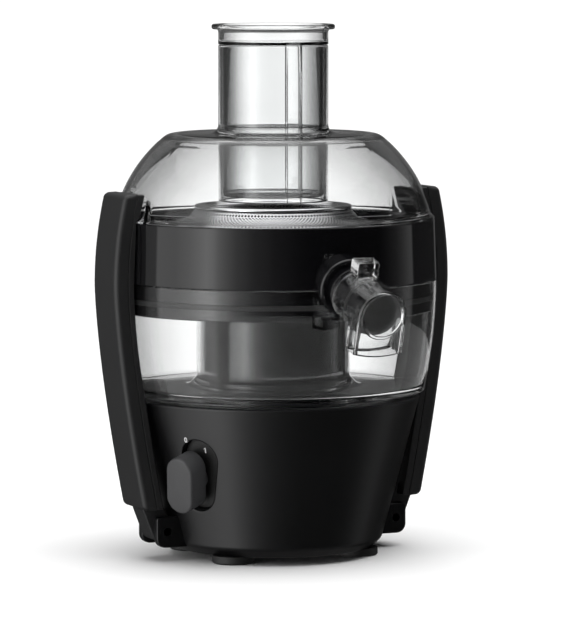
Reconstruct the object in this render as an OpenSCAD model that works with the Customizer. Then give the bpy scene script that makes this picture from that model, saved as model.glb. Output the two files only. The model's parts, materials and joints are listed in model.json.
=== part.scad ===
// Compact centrifugal juicer: tapered motor base, ring-shaped pulp container, juice collector with a
// spout, bell-shaped sieve, domed lid with a feed tube, pusher and two arms that clamp the stack.
// Millimetres. Z is up, the drive axis is the Z axis, the table is Z = 0 and the spout points to -Y.

/* [Stack heights] */
// Height of the rubber feet
foot_h = 5; // [4:0.5:8]
// Height of the base housing above the feet
base_h = 95; // [79:1:114]
// Height of the pulp container from its underside to its rim
container_h = 70.5; // [60:0.5:84]
// Height of the collector's outer band
band_h = 37.5; // [34:0.5:45]
// Height of the lid's dome above the band
dome_h = 53; // [46:0.5:60]
// Height of the feed tube above the dome
tube_h = 55; // [40:1:70]

/* [Radii] */
// Outer radius of the bowl where the band meets the container
bowl_r = 102.5; // [94:0.5:123]
// Outer radius of the base housing just above its bottom corner
base_foot_r = 68.5; // [64:0.5:76]
// Outer radius of the motor tower
tower_r = 45.5; // [44:0.5:54]
// Outer radius of the feed tube
tube_r = 34.4; // [29:0.2:38]
// Outer radius of the sieve's top rim
sieve_top_r = 49.5; // [47:0.5:54]
// Outer radius of the sieve's lower ring
sieve_low_r = 79; // [70:0.5:84]

/* [Walls and fits] */
// Wall of the base, the collector, the lid and the arms
wall = 2.5; // [2:0.1:3]
// Wall of the clear container
clear_wall = 2.2; // [1.8:0.1:2.6]
// Gap between parts that lift off each other
lift_gap = 0.4; // [0.3:0.05:0.6]
// Gap between the arms and the stack they clamp
arm_gap = 0.8; // [0.6:0.1:1.2]
// Radial clearance of shafts and pins that turn
run_gap = 0.05; // [0.02:0.01:0.08]
// Radial clearance of pieces that are fixed in their seats
seat_gap = 0.02; // [0.02:0.01:0.05]

/* [Spout] */
// Outer radius of the spout tube
spout_r = 13.9; // [11.5:0.1:16]
// Length of the spout tube outside the band
spout_len = 50; // [44:1:60]
// Slope of the spout below the horizontal
spout_slope = 16; // [10:1:22]
// Length of the nozzle's outlet below the spout axis
outlet_drop = 26; // [22:0.5:30]

/* [Arms] */
// Width of an arm around the bowl
arm_w = 36; // [30:1:44]
// Thickness of an arm at its edges
arm_t = 13.5; // [12:0.5:16]
// How far the arms bulge past the bowl
arm_bulge = 12.1; // [11.5:0.1:14]
// Radius of the pivot pins
pivot_pin_r = 2.5; // [2:0.1:3]

/* [Control knob] */
// Direction of the knob, counted from the front towards the left arm
knob_az = 62; // [56:1:64]
// Length of the knob's grip
knob_len = 36.5; // [30:0.5:40]
// Width of the knob's grip
knob_w = 19.3; // [16:0.1:22]
// Height of the knob above the housing wall
knob_h = 16; // [12:0.5:20]

/* [Motor] */
// Radius of the motor shaft
shaft_r = 4; // [3.5:0.1:4.5]
// Outer radius of the stator core
stator_r = 36; // [35:0.5:40]
// Outer radius of the rotor core
rotor_r = 20; // [18:0.5:20.5]
// Outer radius of the bearings
bearing_r = 11; // [10.5:0.5:12]

/* [Hidden] */
$fn = 64;
eps = 0.01;

// Levels of the stack
deck_z = foot_h + base_h;
ledge_h = 3;
container_z = deck_z + ledge_h;
band_z = container_z + container_h;
lid_z = band_z + band_h;
dome_z = lid_z + dome_h;
tube_top_z = dome_z + tube_h;
tower_top_z = band_z - 15.5;
skirt_z = band_z - 19.5;
trough_z = band_z - 6;
trough_t = 2.5;

// Base housing
base_top_r = bowl_r - 10.5;
base_corner = 6;
base_foot_z = foot_h + base_corner;
base_slope = (base_top_r - base_foot_r) / (deck_z - base_foot_z);
base_tilt = atan(base_slope);
deck_edge = 2;
cover_t = 2.5;
cover_r = base_foot_r - 8;
foot_r = 13;
foot_ring_r = base_foot_r - 14.5;
foot_angles = [52, 128, 232, 308];
boss_angles = [25, 155, 205, 335];
boss_ring_r = cover_r - 5.5;
boss_h = 12;
screw_r = 1.5;
screw_head_r = 3;
screw_head_t = 1.6;
gland_z = foot_h + 20;
gland_r = 6;
gland_bore_r = 3.6;
gland_in = wall + base_slope * (gland_r + 1) + 0.65;
gland_out = base_slope * (gland_r + 2) + 0.4;
gland_len = gland_in + gland_out + 1.5;
gland_rim_t = 2;

// Container and collector
container_low_r = bowl_r - 7.5;
column_gap = 0.6;
column_in_r = tower_r + column_gap;
column_r = column_in_r + clear_wall;
column_top_z = tower_top_z - 2;
column_flare = 8;
skirt_r = bowl_r - 3.5;
band_top_r = bowl_r - 1.3;
trough_wall_r = sieve_low_r + 5.5;
trough_wall_t = 2;
trough_wall_h = 18.5;
seal_h = 3;
seal_z = skirt_z + 7;

// Lid: an elliptical dome with a flat top
dome_a = band_top_r - 0.2;
dome_b = 1.717 * dome_h;
dome_c = dome_z - 1.302 * dome_h;
dome_foot_h = 3;
dome_steps = 14;
lip_h = 6;
tube_wall = 2.4;
tube_in_r = tube_r - tube_wall;
tube_low_z = lid_z + 10.5;
key_w = 9;
key_d = 2.6;
lid_pocket_gap = 0.6;

// Pusher
pusher_gap = 0.4;
pusher_r = tube_in_r - pusher_gap;
pusher_wall = 2.1;
pusher_seat_gap = 0.3;
pusher_collar_h = 9.5;
pusher_flange_r = tube_r + 4.1;
pusher_flange_t = 3.2;
pusher_low_z = tube_low_z + 3;

// Sieve
sieve_top_z = tube_low_z - 3.5;
sieve_low_z = band_z + 3.5;
sieve_t = 0.8;
sieve_ring_h = 5;
rim_r = 1.2;
rim_plate_in_r = tube_r + 2.8;
carrier_z = sieve_low_z - sieve_ring_h;
carrier_arm_w = 8;
hub_r = 17;
coupling_r = 12;
coupling_teeth = 8;
grater_r = sieve_top_r - 8;
grater_z = sieve_top_z - 12;
grater_t = 1.2;
nut_r = 6;
nut_h = 4;
nut_cap_t = 1;

// Spout, laid out along its own axis from the band's surface outwards
spout_z = band_z + 3.5;
spout_wall = 2.5;
spout_bore_r = spout_r - spout_wall;
spout_root = 4.5;
collar_r = spout_r + 4.1;
collar_len = 7;
step_ring_z = 13;
step_ring_h = 2;
step_ring_r = spout_r + 1.2;
nozzle_start = 18;
nozzle_wall = 1.8;
nozzle_bore_r = spout_r + 0.3;
nozzle_r = nozzle_bore_r + nozzle_wall;
chamber_back = spout_len - 7;
nozzle_end = spout_len + 8;
ring_z = 34;
ring_w = 3;
ring_depth = 1;
tab_w = 14;
tab_h = 9;
tab_len = 11;

// Arms: the outer face is peak radius less a drop that grows towards the foot and the nose. The drop's
// power keeps the outer face a set distance outside the base's top edge, whatever the bowl's radius.
arm_peak_r = bowl_r + arm_bulge;
arm_peak_z = band_z - 1.5;
arm_top_z = lid_z + 18;
arm_foot_z = foot_h + 28;
pivot_z = foot_h + 14;
tongue_r = 6.5;
pivot_r = base_foot_r + base_slope * (pivot_z - base_foot_z) + tongue_r + 1.7;
arm_foot_r = pivot_r + 16.6;
arm_nose_drop = 6.9;
arm_deck_clear = 15.2;
arm_foot_power = ln((arm_peak_r - base_top_r - arm_deck_clear) / (arm_peak_r - arm_foot_r))
    / ln((arm_peak_z - deck_z) / (arm_peak_z - arm_foot_z));
arm_steps = 22;
arm_shell_t = 9;
tongue_w = 18;
cheek_gap = 0.4;
cheek_w = 5.5;
bracket_out = 7;
bracket_top_z = arm_foot_z - 5;
bracket_low_z = foot_h + 4;
arm_screw_z = [arm_foot_z + 24, arm_foot_z + 48];
pad_z = [band_z + 14, band_z + 28];
pad_t = 1.6;
pad_angle = 11;

// Knob and dial, laid out along the wall's normal at the dial's centre
dial_z = foot_h + 50;
dial_wall_r = base_foot_r + base_slope * (dial_z - base_foot_z);
dial_len = 47;
dial_w = 25;
dial_lean = 15;
dial_shift = [3, 1.5];
dial_depth = 4.6;
dial_t = 1.8;
dial_rim = 2.2;
knob_foot = 0.8;
knob_shaft_r = 3;
knob_boss_r = 8;
knob_boss_h = 4.2;
knob_lean = 11;
switch_w = 20;
switch_h = 16;
mark_h = 3.4;
mark_t = 0.25;
mark_lift = 0.02;
off_mark = [-1.2, 24.8];
on_mark = [9, 17];

// Motor levels, from the bottom cover up to the tower
mount_angles = [45, 135, 225, 315];
bracket_t = 6;
mount_h = 9;
lower_bracket_z = foot_h + cover_t + mount_h;
upper_bracket_z = deck_z + 17;
stator_z = lower_bracket_z + 35;
stator_top_z = deck_z - 6;
air_gap = 0.8;
winding_h = 9;
winding_r = rotor_r - 3;
coil_in_r = rotor_r + 2.2;
coil_out_r = stator_r - 6.5;
coil_over = 6;
coil_angle = 96;
bearing_h = 7;
bearing_lip = 2;
commutator_r = 10.5;
commutator_h = 10;
commutator_z = stator_z - winding_h - commutator_h - 1;
brush_w = 6;
brush_h = 5;
brush_len = 12;
holder_wall = 1.5;
fan_z = deck_z + 5;
fan_h = 8;
fan_r = stator_r - 8;
fan_blades = 9;
motor_screw_ring_r = stator_r - 3.6;
motor_screw_r = 1.8;
seal_lip_r = 8;
tower_flange = 4.5;
slot_w = 6;
slot_depth = 1.2;

// Radius of the base housing at a height
function base_r(z) = base_foot_r + base_slope * (z - base_foot_z);

// Outer radius of the container at a height: a parabola that is upright at the rim
function container_r(z) =
    let (t = (z - container_z) / container_h)
    bowl_r - (bowl_r - container_low_r) * (1 - t) * (1 - t);

// Height of the dome's surface at a radius, for a dome made smaller by inset
function dome_height(r, inset) =
    dome_c + (dome_b - inset) * sqrt(1 - pow(r / (dome_a - inset), 2));

// Radius of the dome's surface at a height
function dome_r(z, inset) =
    (dome_a - inset) * sqrt(1 - pow((z - dome_c) / (dome_b - inset), 2));

// Outer radius of an arm at a height
function arm_r(z) =
    z < arm_peak_z
        ? arm_peak_r - (arm_peak_r - arm_foot_r)
            * pow((arm_peak_z - z) / (arm_peak_z - arm_foot_z), arm_foot_power)
        : arm_peak_r - arm_nose_drop * pow((z - arm_peak_z) / (arm_top_z - arm_peak_z), 2);

function container_outline(inset) = [
    for (i = [0 : 10])
        let (z = container_z + container_h * i / 10) [container_r(z) - inset, z]
];

function dome_outline(inset, low_z, top_z) = [
    for (i = [0 : dome_steps])
        let (z = low_z + (top_z - low_z) * sin(90 * i / dome_steps)) [dome_r(z, inset), z]
];

function reversed(list) = [for (i = [len(list) - 1 : -1 : 0]) list[i]];

// Helpers

module ring(r_out, r_in, h) {
    difference() {
        cylinder(r = r_out, h = h);
        translate([0, 0, -eps]) cylinder(r = r_in, h = h + 2 * eps);
    }
}

module around(angles, radius) {
    for (a = angles) rotate([0, 0, a]) translate([0, -radius, 0]) children();
}

// Local +Z leaves the housing wall at the dial, local +Y runs up the wall
module at_dial() {
    rotate([0, 0, -knob_az])
        translate([0, -dial_wall_r, dial_z])
            rotate([90 + base_tilt, 0, 0]) children();
}

// Local +Z runs out along the spout
module at_spout() {
    translate([0, -bowl_r, spout_z]) rotate([90 + spout_slope, 0, 0]) children();
}

module stadium(length, width) {
    reach = (length - width) / 2;
    for (s = [-1, 1]) translate([0, s * reach]) circle(d = width);
    square([width, 2 * reach], center = true);
}

// Base

module base_solid() {
    rotate_extrude() {
        polygon([
            [0, foot_h], [base_foot_r - base_corner, foot_h], [base_foot_r - base_corner, base_foot_z],
            [base_foot_r, base_foot_z], [base_r(deck_z - deck_edge), deck_z - deck_edge],
            [base_top_r - deck_edge, deck_z], [0, deck_z]
        ]);
        translate([base_foot_r - base_corner, base_foot_z])
            intersection() {
                circle(r = base_corner);
                translate([0, -base_corner]) square(base_corner);
            }
    }
}

module base_hollow() {
    lip_z = foot_h + cover_t;
    lip_r = base_foot_r - base_corner - 3.2;
    rotate_extrude() {
        polygon([
            [0, lip_z], [lip_r, lip_z], [base_r(base_foot_z) - wall, base_foot_z + 1],
            [base_r(deck_z - wall) - wall, deck_z - wall], [0, deck_z - wall]
        ]);
        square([cover_r + lift_gap / 2, lip_z + eps]);
        square([tower_r + seat_gap, deck_z + 1]);
    }
}

// The recess round the knob: a stadium that leans the same way as the knob
module dial_outline(grow) {
    translate(dial_shift) rotate(-dial_lean) stadium(dial_len + 2 * grow, dial_w + 2 * grow);
}

module dial_pocket(grow, depth) {
    at_dial() translate([0, 0, -depth]) linear_extrude(depth + 20) dial_outline(grow);
}

module pivot_cheeks() {
    slot = tongue_w / 2 + cheek_gap;
    corner = 6;
    in_r = base_foot_r - 3;
    out_r = pivot_r + bracket_out;
    for (side = [-1, 1], end = [-1, 1])
        scale([side, end, 1])
            translate([0, slot + cheek_w, 0])
                rotate([90, 0, 0])
                    linear_extrude(cheek_w) {
                        translate([in_r, bracket_low_z + corner])
                            square([out_r - in_r, bracket_top_z - bracket_low_z - corner]);
                        translate([in_r, bracket_low_z])
                            square([out_r - in_r - corner, corner + eps]);
                        translate([out_r - corner, bracket_low_z + corner]) circle(r = corner);
                    }
}

module base_housing() {
    color([0.06, 0.06, 0.065])
        difference() {
            union() {
                difference() {
                    base_solid();
                    base_hollow();
                }
                difference() {
                    intersection() {
                        dial_pocket(dial_rim, dial_depth + dial_t);
                        base_solid();
                    }
                    base_hollow_core();
                }
                difference() {
                    pivot_cheeks();
                    base_hollow();
                }
                cover_bosses();
            }
            dial_pocket(seat_gap, dial_depth + dial_t);
            cover_screw_holes(screw_r - 0.2, boss_h + cover_t);
            pivot_bores(pivot_pin_r + seat_gap);
            translate([0, base_r(gland_z) - 12, gland_z])
                rotate([-90, 0, 0]) cylinder(r = gland_r + seat_gap, h = 24);
        }
}

// The space that the dial's collar must leave free: everything inside the switch's depth
module base_hollow_core() {
    at_dial() translate([0, 0, -60]) cylinder(r = dial_len, h = 60 - dial_depth - dial_t);
}

module cover_bosses() {
    intersection() {
        around(boss_angles, boss_ring_r)
            translate([0, 0, foot_h + cover_t]) {
                cylinder(r = 4, h = boss_h);
                translate([-1.5, -20, 0]) cube([3, 20, boss_h]);
            }
        base_solid();
    }
}

module cover_screw_holes(radius, depth) {
    around(boss_angles, boss_ring_r) translate([0, 0, foot_h - eps]) cylinder(r = radius, h = depth);
}

module pivot_bores(radius) {
    reach = tongue_w / 2 + cheek_gap + cheek_w + 1;
    for (side = [-1, 1])
        translate([side * pivot_r, reach, pivot_z])
            rotate([90, 0, 0]) cylinder(r = radius, h = 2 * reach);
}

module motor_tower() {
    cap_t = 2.5;
    edge = 2;
    color([0.05, 0.05, 0.055])
        difference() {
            rotate_extrude() {
                polygon([
                    [tower_r - wall, deck_z - wall - 2], [tower_r + tower_flange, deck_z - wall - 2],
                    [tower_r + tower_flange, deck_z - wall], [tower_r, deck_z - wall],
                    [tower_r, tower_top_z - edge], [tower_r - edge, tower_top_z - edge],
                    [tower_r - edge, tower_top_z], [seal_lip_r + seat_gap, tower_top_z],
                    [seal_lip_r + seat_gap, tower_top_z - cap_t], [tower_r - wall, tower_top_z - cap_t]
                ]);
                translate([tower_r - edge, tower_top_z - edge])
                    intersection() {
                        circle(r = edge);
                        square(edge);
                    }
            }
            // A flat key slot that lines the container up on the tower
            translate([-slot_w / 2, tower_r - slot_depth, deck_z + 8])
                cube([slot_w, slot_depth + 3, tower_top_z - deck_z]);
        }
}

module bottom_cover() {
    slots = 7;
    color([0.08, 0.08, 0.085])
        difference() {
            union() {
                translate([0, 0, foot_h]) cylinder(r = cover_r, h = cover_t);
                around(mount_angles, motor_screw_ring_r - 4)
                    translate([0, 0, foot_h + 1]) cylinder(r = 7, h = cover_t + 2);
            }
            around(mount_angles, motor_screw_ring_r - 4)
                translate([0, 0, foot_h + cover_t]) cylinder(r = 4, h = 3);
            cover_screw_holes(screw_r + 0.2, cover_t + 1);
            cover_screw_holes(screw_head_r + 0.2, screw_head_t + 2 * eps);
            for (i = [0 : slots - 1])
                translate([-18, (i - (slots - 1) / 2) * 6 - 1.25, foot_h - 1])
                    cube([36, 2.5, cover_t + 2]);
        }
}

module feet() {
    edge = 1.5;
    color([0.12, 0.12, 0.12])
        around(foot_angles, foot_ring_r)
            rotate_extrude() {
                square([foot_r - edge, foot_h]);
                translate([0, edge]) square([foot_r, foot_h - edge]);
                translate([foot_r - edge, edge]) circle(r = edge);
            }
}

module cover_screws() {
    color([0.6, 0.6, 0.62])
        around(boss_angles, boss_ring_r)
            translate([0, 0, foot_h + 0.1])
                difference() {
                    union() {
                        cylinder(r = screw_head_r, h = screw_head_t - 0.1);
                        cylinder(r = screw_r - 0.22, h = 10);
                    }
                    for (a = [0, 90])
                        rotate([0, 0, a]) translate([-2, -0.4, -1]) cube([4, 0.8, 1.8]);
                }
}

module cord_gland() {
    color([0.1, 0.1, 0.1])
        translate([0, base_r(gland_z) - gland_in, gland_z])
            rotate([-90, 0, 0])
                difference() {
                    union() {
                        cylinder(r = gland_r, h = gland_len);
                        translate([0, 0, gland_len - 1.5]) cylinder(r = gland_r + 2, h = gland_rim_t);
                        translate([0, 0, -gland_rim_t]) cylinder(r = gland_r + 1, h = gland_rim_t);
                    }
                    translate([0, 0, -gland_rim_t - 1])
                        cylinder(r = gland_bore_r, h = gland_len + 2 * gland_rim_t + 1);
                }
}

// Dial, switch and knob

module dial_plate() {
    color([0.03, 0.03, 0.03])
        at_dial()
            translate([0, 0, -dial_depth - dial_t])
                difference() {
                    linear_extrude(dial_t) dial_outline(0);
                    translate([0, 0, -1]) cylinder(r = knob_shaft_r + 0.5, h = dial_t + 2);
                }
}

module digit_zero() {
    difference() {
        stadium(mark_h, mark_h * 0.62);
        stadium(mark_h - 1.2, mark_h * 0.62 - 1.2);
    }
}

module digit_one() {
    h = mark_h / 2;
    polygon([
        [-0.35, -h], [0.35, -h], [0.35, h], [-0.2, h],
        [-0.95, h - 0.6], [-0.95, h - 1.15], [-0.35, h - 0.75]
    ]);
}

// The off mark is on the wall above the recess and the on mark is on the recess's floor
module dial_marks() {
    color([0.75, 0.75, 0.75])
        at_dial() {
            translate([off_mark[0], off_mark[1], mark_lift]) linear_extrude(mark_t) digit_zero();
            translate([on_mark[0], on_mark[1], -dial_depth]) linear_extrude(mark_t) digit_one();
        }
}

module rotary_switch() {
    color([0.2, 0.2, 0.22])
        at_dial()
            translate([0, 0, -dial_depth - dial_t - switch_h])
                difference() {
                    translate([-switch_w / 2, -switch_w / 2, 0]) cube([switch_w, switch_w, switch_h]);
                    translate([0, 0, 4]) cylinder(r = knob_shaft_r + run_gap, h = switch_h);
                }
}

module knob() {
    grip_z = -dial_depth + knob_boss_h + knob_foot;
    color([0.2, 0.2, 0.21])
        at_dial()
            difference() {
                union() {
                    translate([0, 0, -dial_depth + knob_foot]) cylinder(r = knob_boss_r, h = knob_boss_h);
                    translate([0, 0, grip_z])
                        rotate([0, 0, -knob_lean]) linear_extrude(knob_h - grip_z) stadium(knob_len, knob_w);
                }
                translate([0, 0, -dial_depth - 1]) cylinder(r = knob_shaft_r + seat_gap, h = 12);
            }
}

module knob_shaft() {
    color([0.7, 0.7, 0.7])
        at_dial()
            translate([0, 0, -dial_depth - dial_t - switch_h + 5])
                cylinder(r = knob_shaft_r, h = switch_h + dial_t + 5);
}

module arm_pins() {
    reach = tongue_w / 2 + cheek_gap + cheek_w;
    color([0.75, 0.75, 0.77])
        for (side = [-1, 1])
            translate([side * pivot_r, reach, pivot_z])
                rotate([90, 0, 0]) cylinder(r = pivot_pin_r, h = 2 * reach);
}

module interlock_switches() {
    depth = 8;
    color([0.35, 0.1, 0.1])
        for (side = [-1, 1])
            scale([side, 1, 1])
                translate([base_foot_r - wall - depth - 3, -10, foot_h + cover_t + 6])
                    cube([depth, 20, 12]);
}

// Motor

module bearing_bracket(radius) {
    difference() {
        union() {
            cylinder(r = radius, h = bracket_t);
            translate([0, 0, -bearing_lip]) cylinder(r = bearing_r + 4, h = bracket_t + bearing_lip + 1);
        }
        translate([0, 0, -bearing_lip - 1]) cylinder(r = shaft_r + 2, h = bracket_t + 9);
        cylinder(r = bearing_r + seat_gap, h = bearing_h + 1);
        around(mount_angles, motor_screw_ring_r)
            translate([0, 0, -1]) cylinder(r = motor_screw_r + seat_gap, h = bracket_t + 2);
        around([0, 90, 180, 270], bearing_r + 12)
            translate([0, 0, -1]) cylinder(r = 5, h = bracket_t + 2);
    }
}

module lower_motor_bracket() {
    color([0.6, 0.6, 0.62]) translate([0, 0, lower_bracket_z]) bearing_bracket(stator_r);
}

module upper_motor_bracket() {
    color([0.6, 0.6, 0.62]) translate([0, 0, upper_bracket_z]) bearing_bracket(tower_r - wall - lift_gap);
}

module rubber_mounts() {
    color([0.15, 0.15, 0.15])
        around(mount_angles, motor_screw_ring_r - 4)
            translate([0, 0, foot_h + cover_t]) cylinder(r = 4 - seat_gap, h = mount_h - 2.5);
}

module motor_screws() {
    color([0.7, 0.7, 0.7])
        around(mount_angles, motor_screw_ring_r)
            translate([0, 0, lower_bracket_z - 2]) {
                cylinder(r = motor_screw_r, h = upper_bracket_z + bracket_t - lower_bracket_z + 4);
                cylinder(r = motor_screw_r + 1.5, h = 2);
            }
}

module stator_core() {
    h = stator_top_z - stator_z;
    color([0.45, 0.45, 0.47])
        translate([0, 0, stator_z])
            difference() {
                cylinder(r = stator_r, h = h);
                translate([0, 0, -1]) cylinder(r = rotor_r + air_gap, h = h + 2);
                for (a = [0, 180])
                    rotate([0, 0, a - coil_angle / 2])
                        translate([0, 0, -1])
                            rotate_extrude(angle = coil_angle)
                                translate([rotor_r, 0])
                                    square([coil_out_r + 0.2 - rotor_r, h + 2]);
                around(mount_angles, motor_screw_ring_r)
                    translate([0, 0, -1]) cylinder(r = motor_screw_r + 0.2, h = h + 2);
            }
}

module field_coils() {
    h = stator_top_z - stator_z + 2 * coil_over;
    color([0.72, 0.4, 0.16])
        translate([0, 0, stator_z - coil_over])
            for (a = [0, 180])
                rotate([0, 0, a - coil_angle / 2 + 1])
                    rotate_extrude(angle = coil_angle - 2)
                        translate([coil_in_r, 0]) square([coil_out_r - coil_in_r, h]);
}

module at_brushes() {
    for (a = [0, 180])
        rotate([0, 0, a + 90])
            translate([commutator_r + run_gap + 0.25, 0, commutator_z + commutator_h / 2]) children();
}

module carbon_brushes() {
    color([0.15, 0.15, 0.15])
        at_brushes()
            translate([0, -brush_w / 2, -brush_h / 2]) cube([brush_len, brush_w, brush_h]);
}

module brush_holders() {
    w = brush_w + 0.2;
    h = brush_h + 0.2;
    color([0.55, 0.45, 0.2])
        at_brushes()
            difference() {
                translate([3, -w / 2 - holder_wall, -h / 2 - holder_wall])
                    cube([brush_len + 2, w + 2 * holder_wall, h + 2 * holder_wall]);
                translate([2, -w / 2, -h / 2]) cube([brush_len + 1.5, w, h]);
            }
}

module bearing_at(z) {
    color([0.8, 0.8, 0.82]) translate([0, 0, z]) ring(bearing_r, shaft_r + run_gap, bearing_h);
}

module lower_bearing() { bearing_at(lower_bracket_z); }

module upper_bearing() { bearing_at(upper_bracket_z); }

module shaft_seal() {
    color([0.2, 0.2, 0.2])
        translate([0, 0, tower_top_z - 2.5]) ring(seal_lip_r, shaft_r + run_gap, 3);
}

module motor_shaft() {
    color([0.8, 0.8, 0.82])
        translate([0, 0, lower_bracket_z + 0.5])
            cylinder(r = shaft_r, h = grater_z + grater_t + nut_h - nut_cap_t - 1 - lower_bracket_z);
}

module rotor_core() {
    h = stator_top_z - stator_z;
    slots = 12;
    color([0.45, 0.45, 0.47])
        translate([0, 0, stator_z])
            difference() {
                ring(rotor_r, shaft_r, h);
                for (i = [0 : slots - 1])
                    rotate([0, 0, 360 * i / slots])
                        translate([rotor_r - 1.6, -0.8, -1]) cube([3, 1.6, h + 2]);
            }
}

module rotor_windings() {
    color([0.72, 0.4, 0.16])
        for (z = [stator_z - winding_h, stator_top_z])
            translate([0, 0, z]) ring(winding_r, shaft_r, winding_h);
}

module commutator() {
    bars = 24;
    color([0.8, 0.5, 0.25])
        translate([0, 0, commutator_z])
            difference() {
                ring(commutator_r, shaft_r, commutator_h);
                for (i = [0 : bars - 1])
                    rotate([0, 0, 360 * i / bars])
                        translate([commutator_r - 0.5, -0.25, 1]) cube([1, 0.5, commutator_h]);
            }
}

module cooling_fan() {
    disc_t = 1.2;
    fan_hub_r = 9;
    color([0.15, 0.15, 0.16])
        translate([0, 0, fan_z])
            difference() {
                union() {
                    cylinder(r = fan_hub_r, h = fan_h);
                    cylinder(r = fan_r, h = disc_t);
                    for (i = [0 : fan_blades - 1])
                        rotate([0, 0, 360 * i / fan_blades])
                            translate([fan_hub_r - 1.5, -0.6, disc_t / 2])
                                rotate([0, 0, 18]) cube([fan_r - fan_hub_r - 1, 1.2, fan_h - disc_t]);
                }
                translate([0, 0, -1]) cylinder(r = shaft_r, h = fan_h + 2);
            }
}

// Sieve and its drive

module drive_coupling() {
    h = carrier_z + sieve_ring_h - 1 - tower_top_z - 1;
    color([0.15, 0.15, 0.16])
        translate([0, 0, tower_top_z + 1])
            difference() {
                union() {
                    cylinder(r = coupling_r - 2, h = h);
                    for (i = [0 : coupling_teeth - 1])
                        rotate([0, 0, 360 * i / coupling_teeth])
                            translate([coupling_r - 5, -1.5, 1]) cube([5, 3, h - 2]);
                }
                translate([0, 0, -1]) cylinder(r = shaft_r, h = h + 2);
            }
}

module sieve_carrier() {
    cup_in = coupling_r + 0.4;
    cup_top = carrier_z + sieve_ring_h - 1 + 0.4;
    cup_low = tower_top_z + 3;
    neck_r = 12;
    color([0.08, 0.08, 0.085]) {
        rotate_extrude()
            polygon([
                [shaft_r, cup_top], [cup_in, cup_top], [cup_in, cup_low],
                [hub_r, cup_low], [hub_r, cup_top], [neck_r, grater_z], [shaft_r, grater_z]
            ]);
        for (i = [0 : 3])
            rotate([0, 0, 45 + 90 * i])
                translate([hub_r - 1, -carrier_arm_w / 2, carrier_z])
                    cube([sieve_low_r - hub_r - 1.5, carrier_arm_w, sieve_ring_h - 1]);
        translate([0, 0, carrier_z]) ring(sieve_low_r, sieve_low_r - 4, sieve_ring_h - 1);
    }
}

function sieve_r(z) =
    sieve_low_r + (sieve_top_r - 1 - sieve_low_r) * (z - carrier_z - sieve_ring_h + 1)
        / (sieve_top_z - 1 - carrier_z - sieve_ring_h + 1);

module sieve_cone() {
    low = carrier_z + sieve_ring_h - 1;
    top = sieve_top_z - 1;
    color([0.72, 0.72, 0.73])
        rotate_extrude()
            polygon([
                [sieve_r(low) - sieve_t, low], [sieve_r(low), low],
                [sieve_r(top), top], [sieve_r(top) - sieve_t, top]
            ]);
}

module sieve_rim() {
    color([0.8, 0.8, 0.81])
        rotate_extrude() {
            translate([rim_plate_in_r, sieve_top_z - 1])
                square([sieve_top_r - rim_r - rim_plate_in_r, sieve_t]);
            translate([sieve_top_r - rim_r, sieve_top_z - 1 + rim_r]) circle(r = rim_r);
        }
}

module grater_disc() {
    rows = 4;
    tooth_h = 1;
    color([0.78, 0.78, 0.79])
        translate([0, 0, grater_z]) {
            ring(grater_r, shaft_r, grater_t);
            for (row = [1 : rows])
                for (i = [0 : 2 + 3 * row])
                    rotate([0, 0, 360 * i / (3 + 3 * row) + 14 * row])
                        translate([nut_r + row * (grater_r - nut_r - 3) / rows - 1, -0.3, grater_t / 2])
                            cube([2, 0.6, grater_t / 2 + tooth_h]);
        }
}

module grater_nut() {
    color([0.75, 0.75, 0.76])
        translate([0, 0, grater_z + grater_t])
            difference() {
                cylinder(r = nut_r, h = nut_h, $fn = 6);
                translate([0, 0, -nut_cap_t]) cylinder(r = shaft_r, h = nut_h);
            }
}

// Container, collector and spout

module pulp_container() {
    floor_t = 2.6;
    floor_z = container_z + floor_t;
    rim_z = band_z - lift_gap;
    outer = [for (p = container_outline(0)) [p[0], min(p[1], rim_z)]];
    inner = [for (p = container_outline(clear_wall)) if (p[1] > floor_z + 3) [p[0], min(p[1], rim_z)]];
    color([0.6, 0.62, 0.64, 0.4]) {
        rotate_extrude() {
            polygon(concat(
                [[column_in_r, container_z]],
                outer,
                reversed(inner),
                [
                    [container_low_r - clear_wall - 1.5, floor_z],
                    [column_r + column_flare, floor_z],
                    [column_r + column_flare * 0.35, floor_z + 1.6],
                    [column_r, floor_z + 6],
                    [column_r, column_top_z], [column_in_r, column_top_z]
                ]
            ));
            translate([base_top_r - 8, deck_z + 0.2]) square([3, ledge_h]);
        }
        // The key that lines the container up on the tower
        translate([-slot_w / 2 + lift_gap, tower_r - slot_depth + 0.5, deck_z + 10])
            cube([slot_w - 2 * lift_gap, column_gap + slot_depth, column_top_z - deck_z - 10]);
    }
}

module container_seal() {
    r_out = min(container_r(seal_z), container_r(seal_z + seal_h)) - clear_wall - 0.2;
    color([0.1, 0.1, 0.1])
        translate([0, 0, seal_z]) ring(r_out, skirt_r - 1.2 + seat_gap, seal_h);
}

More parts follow.
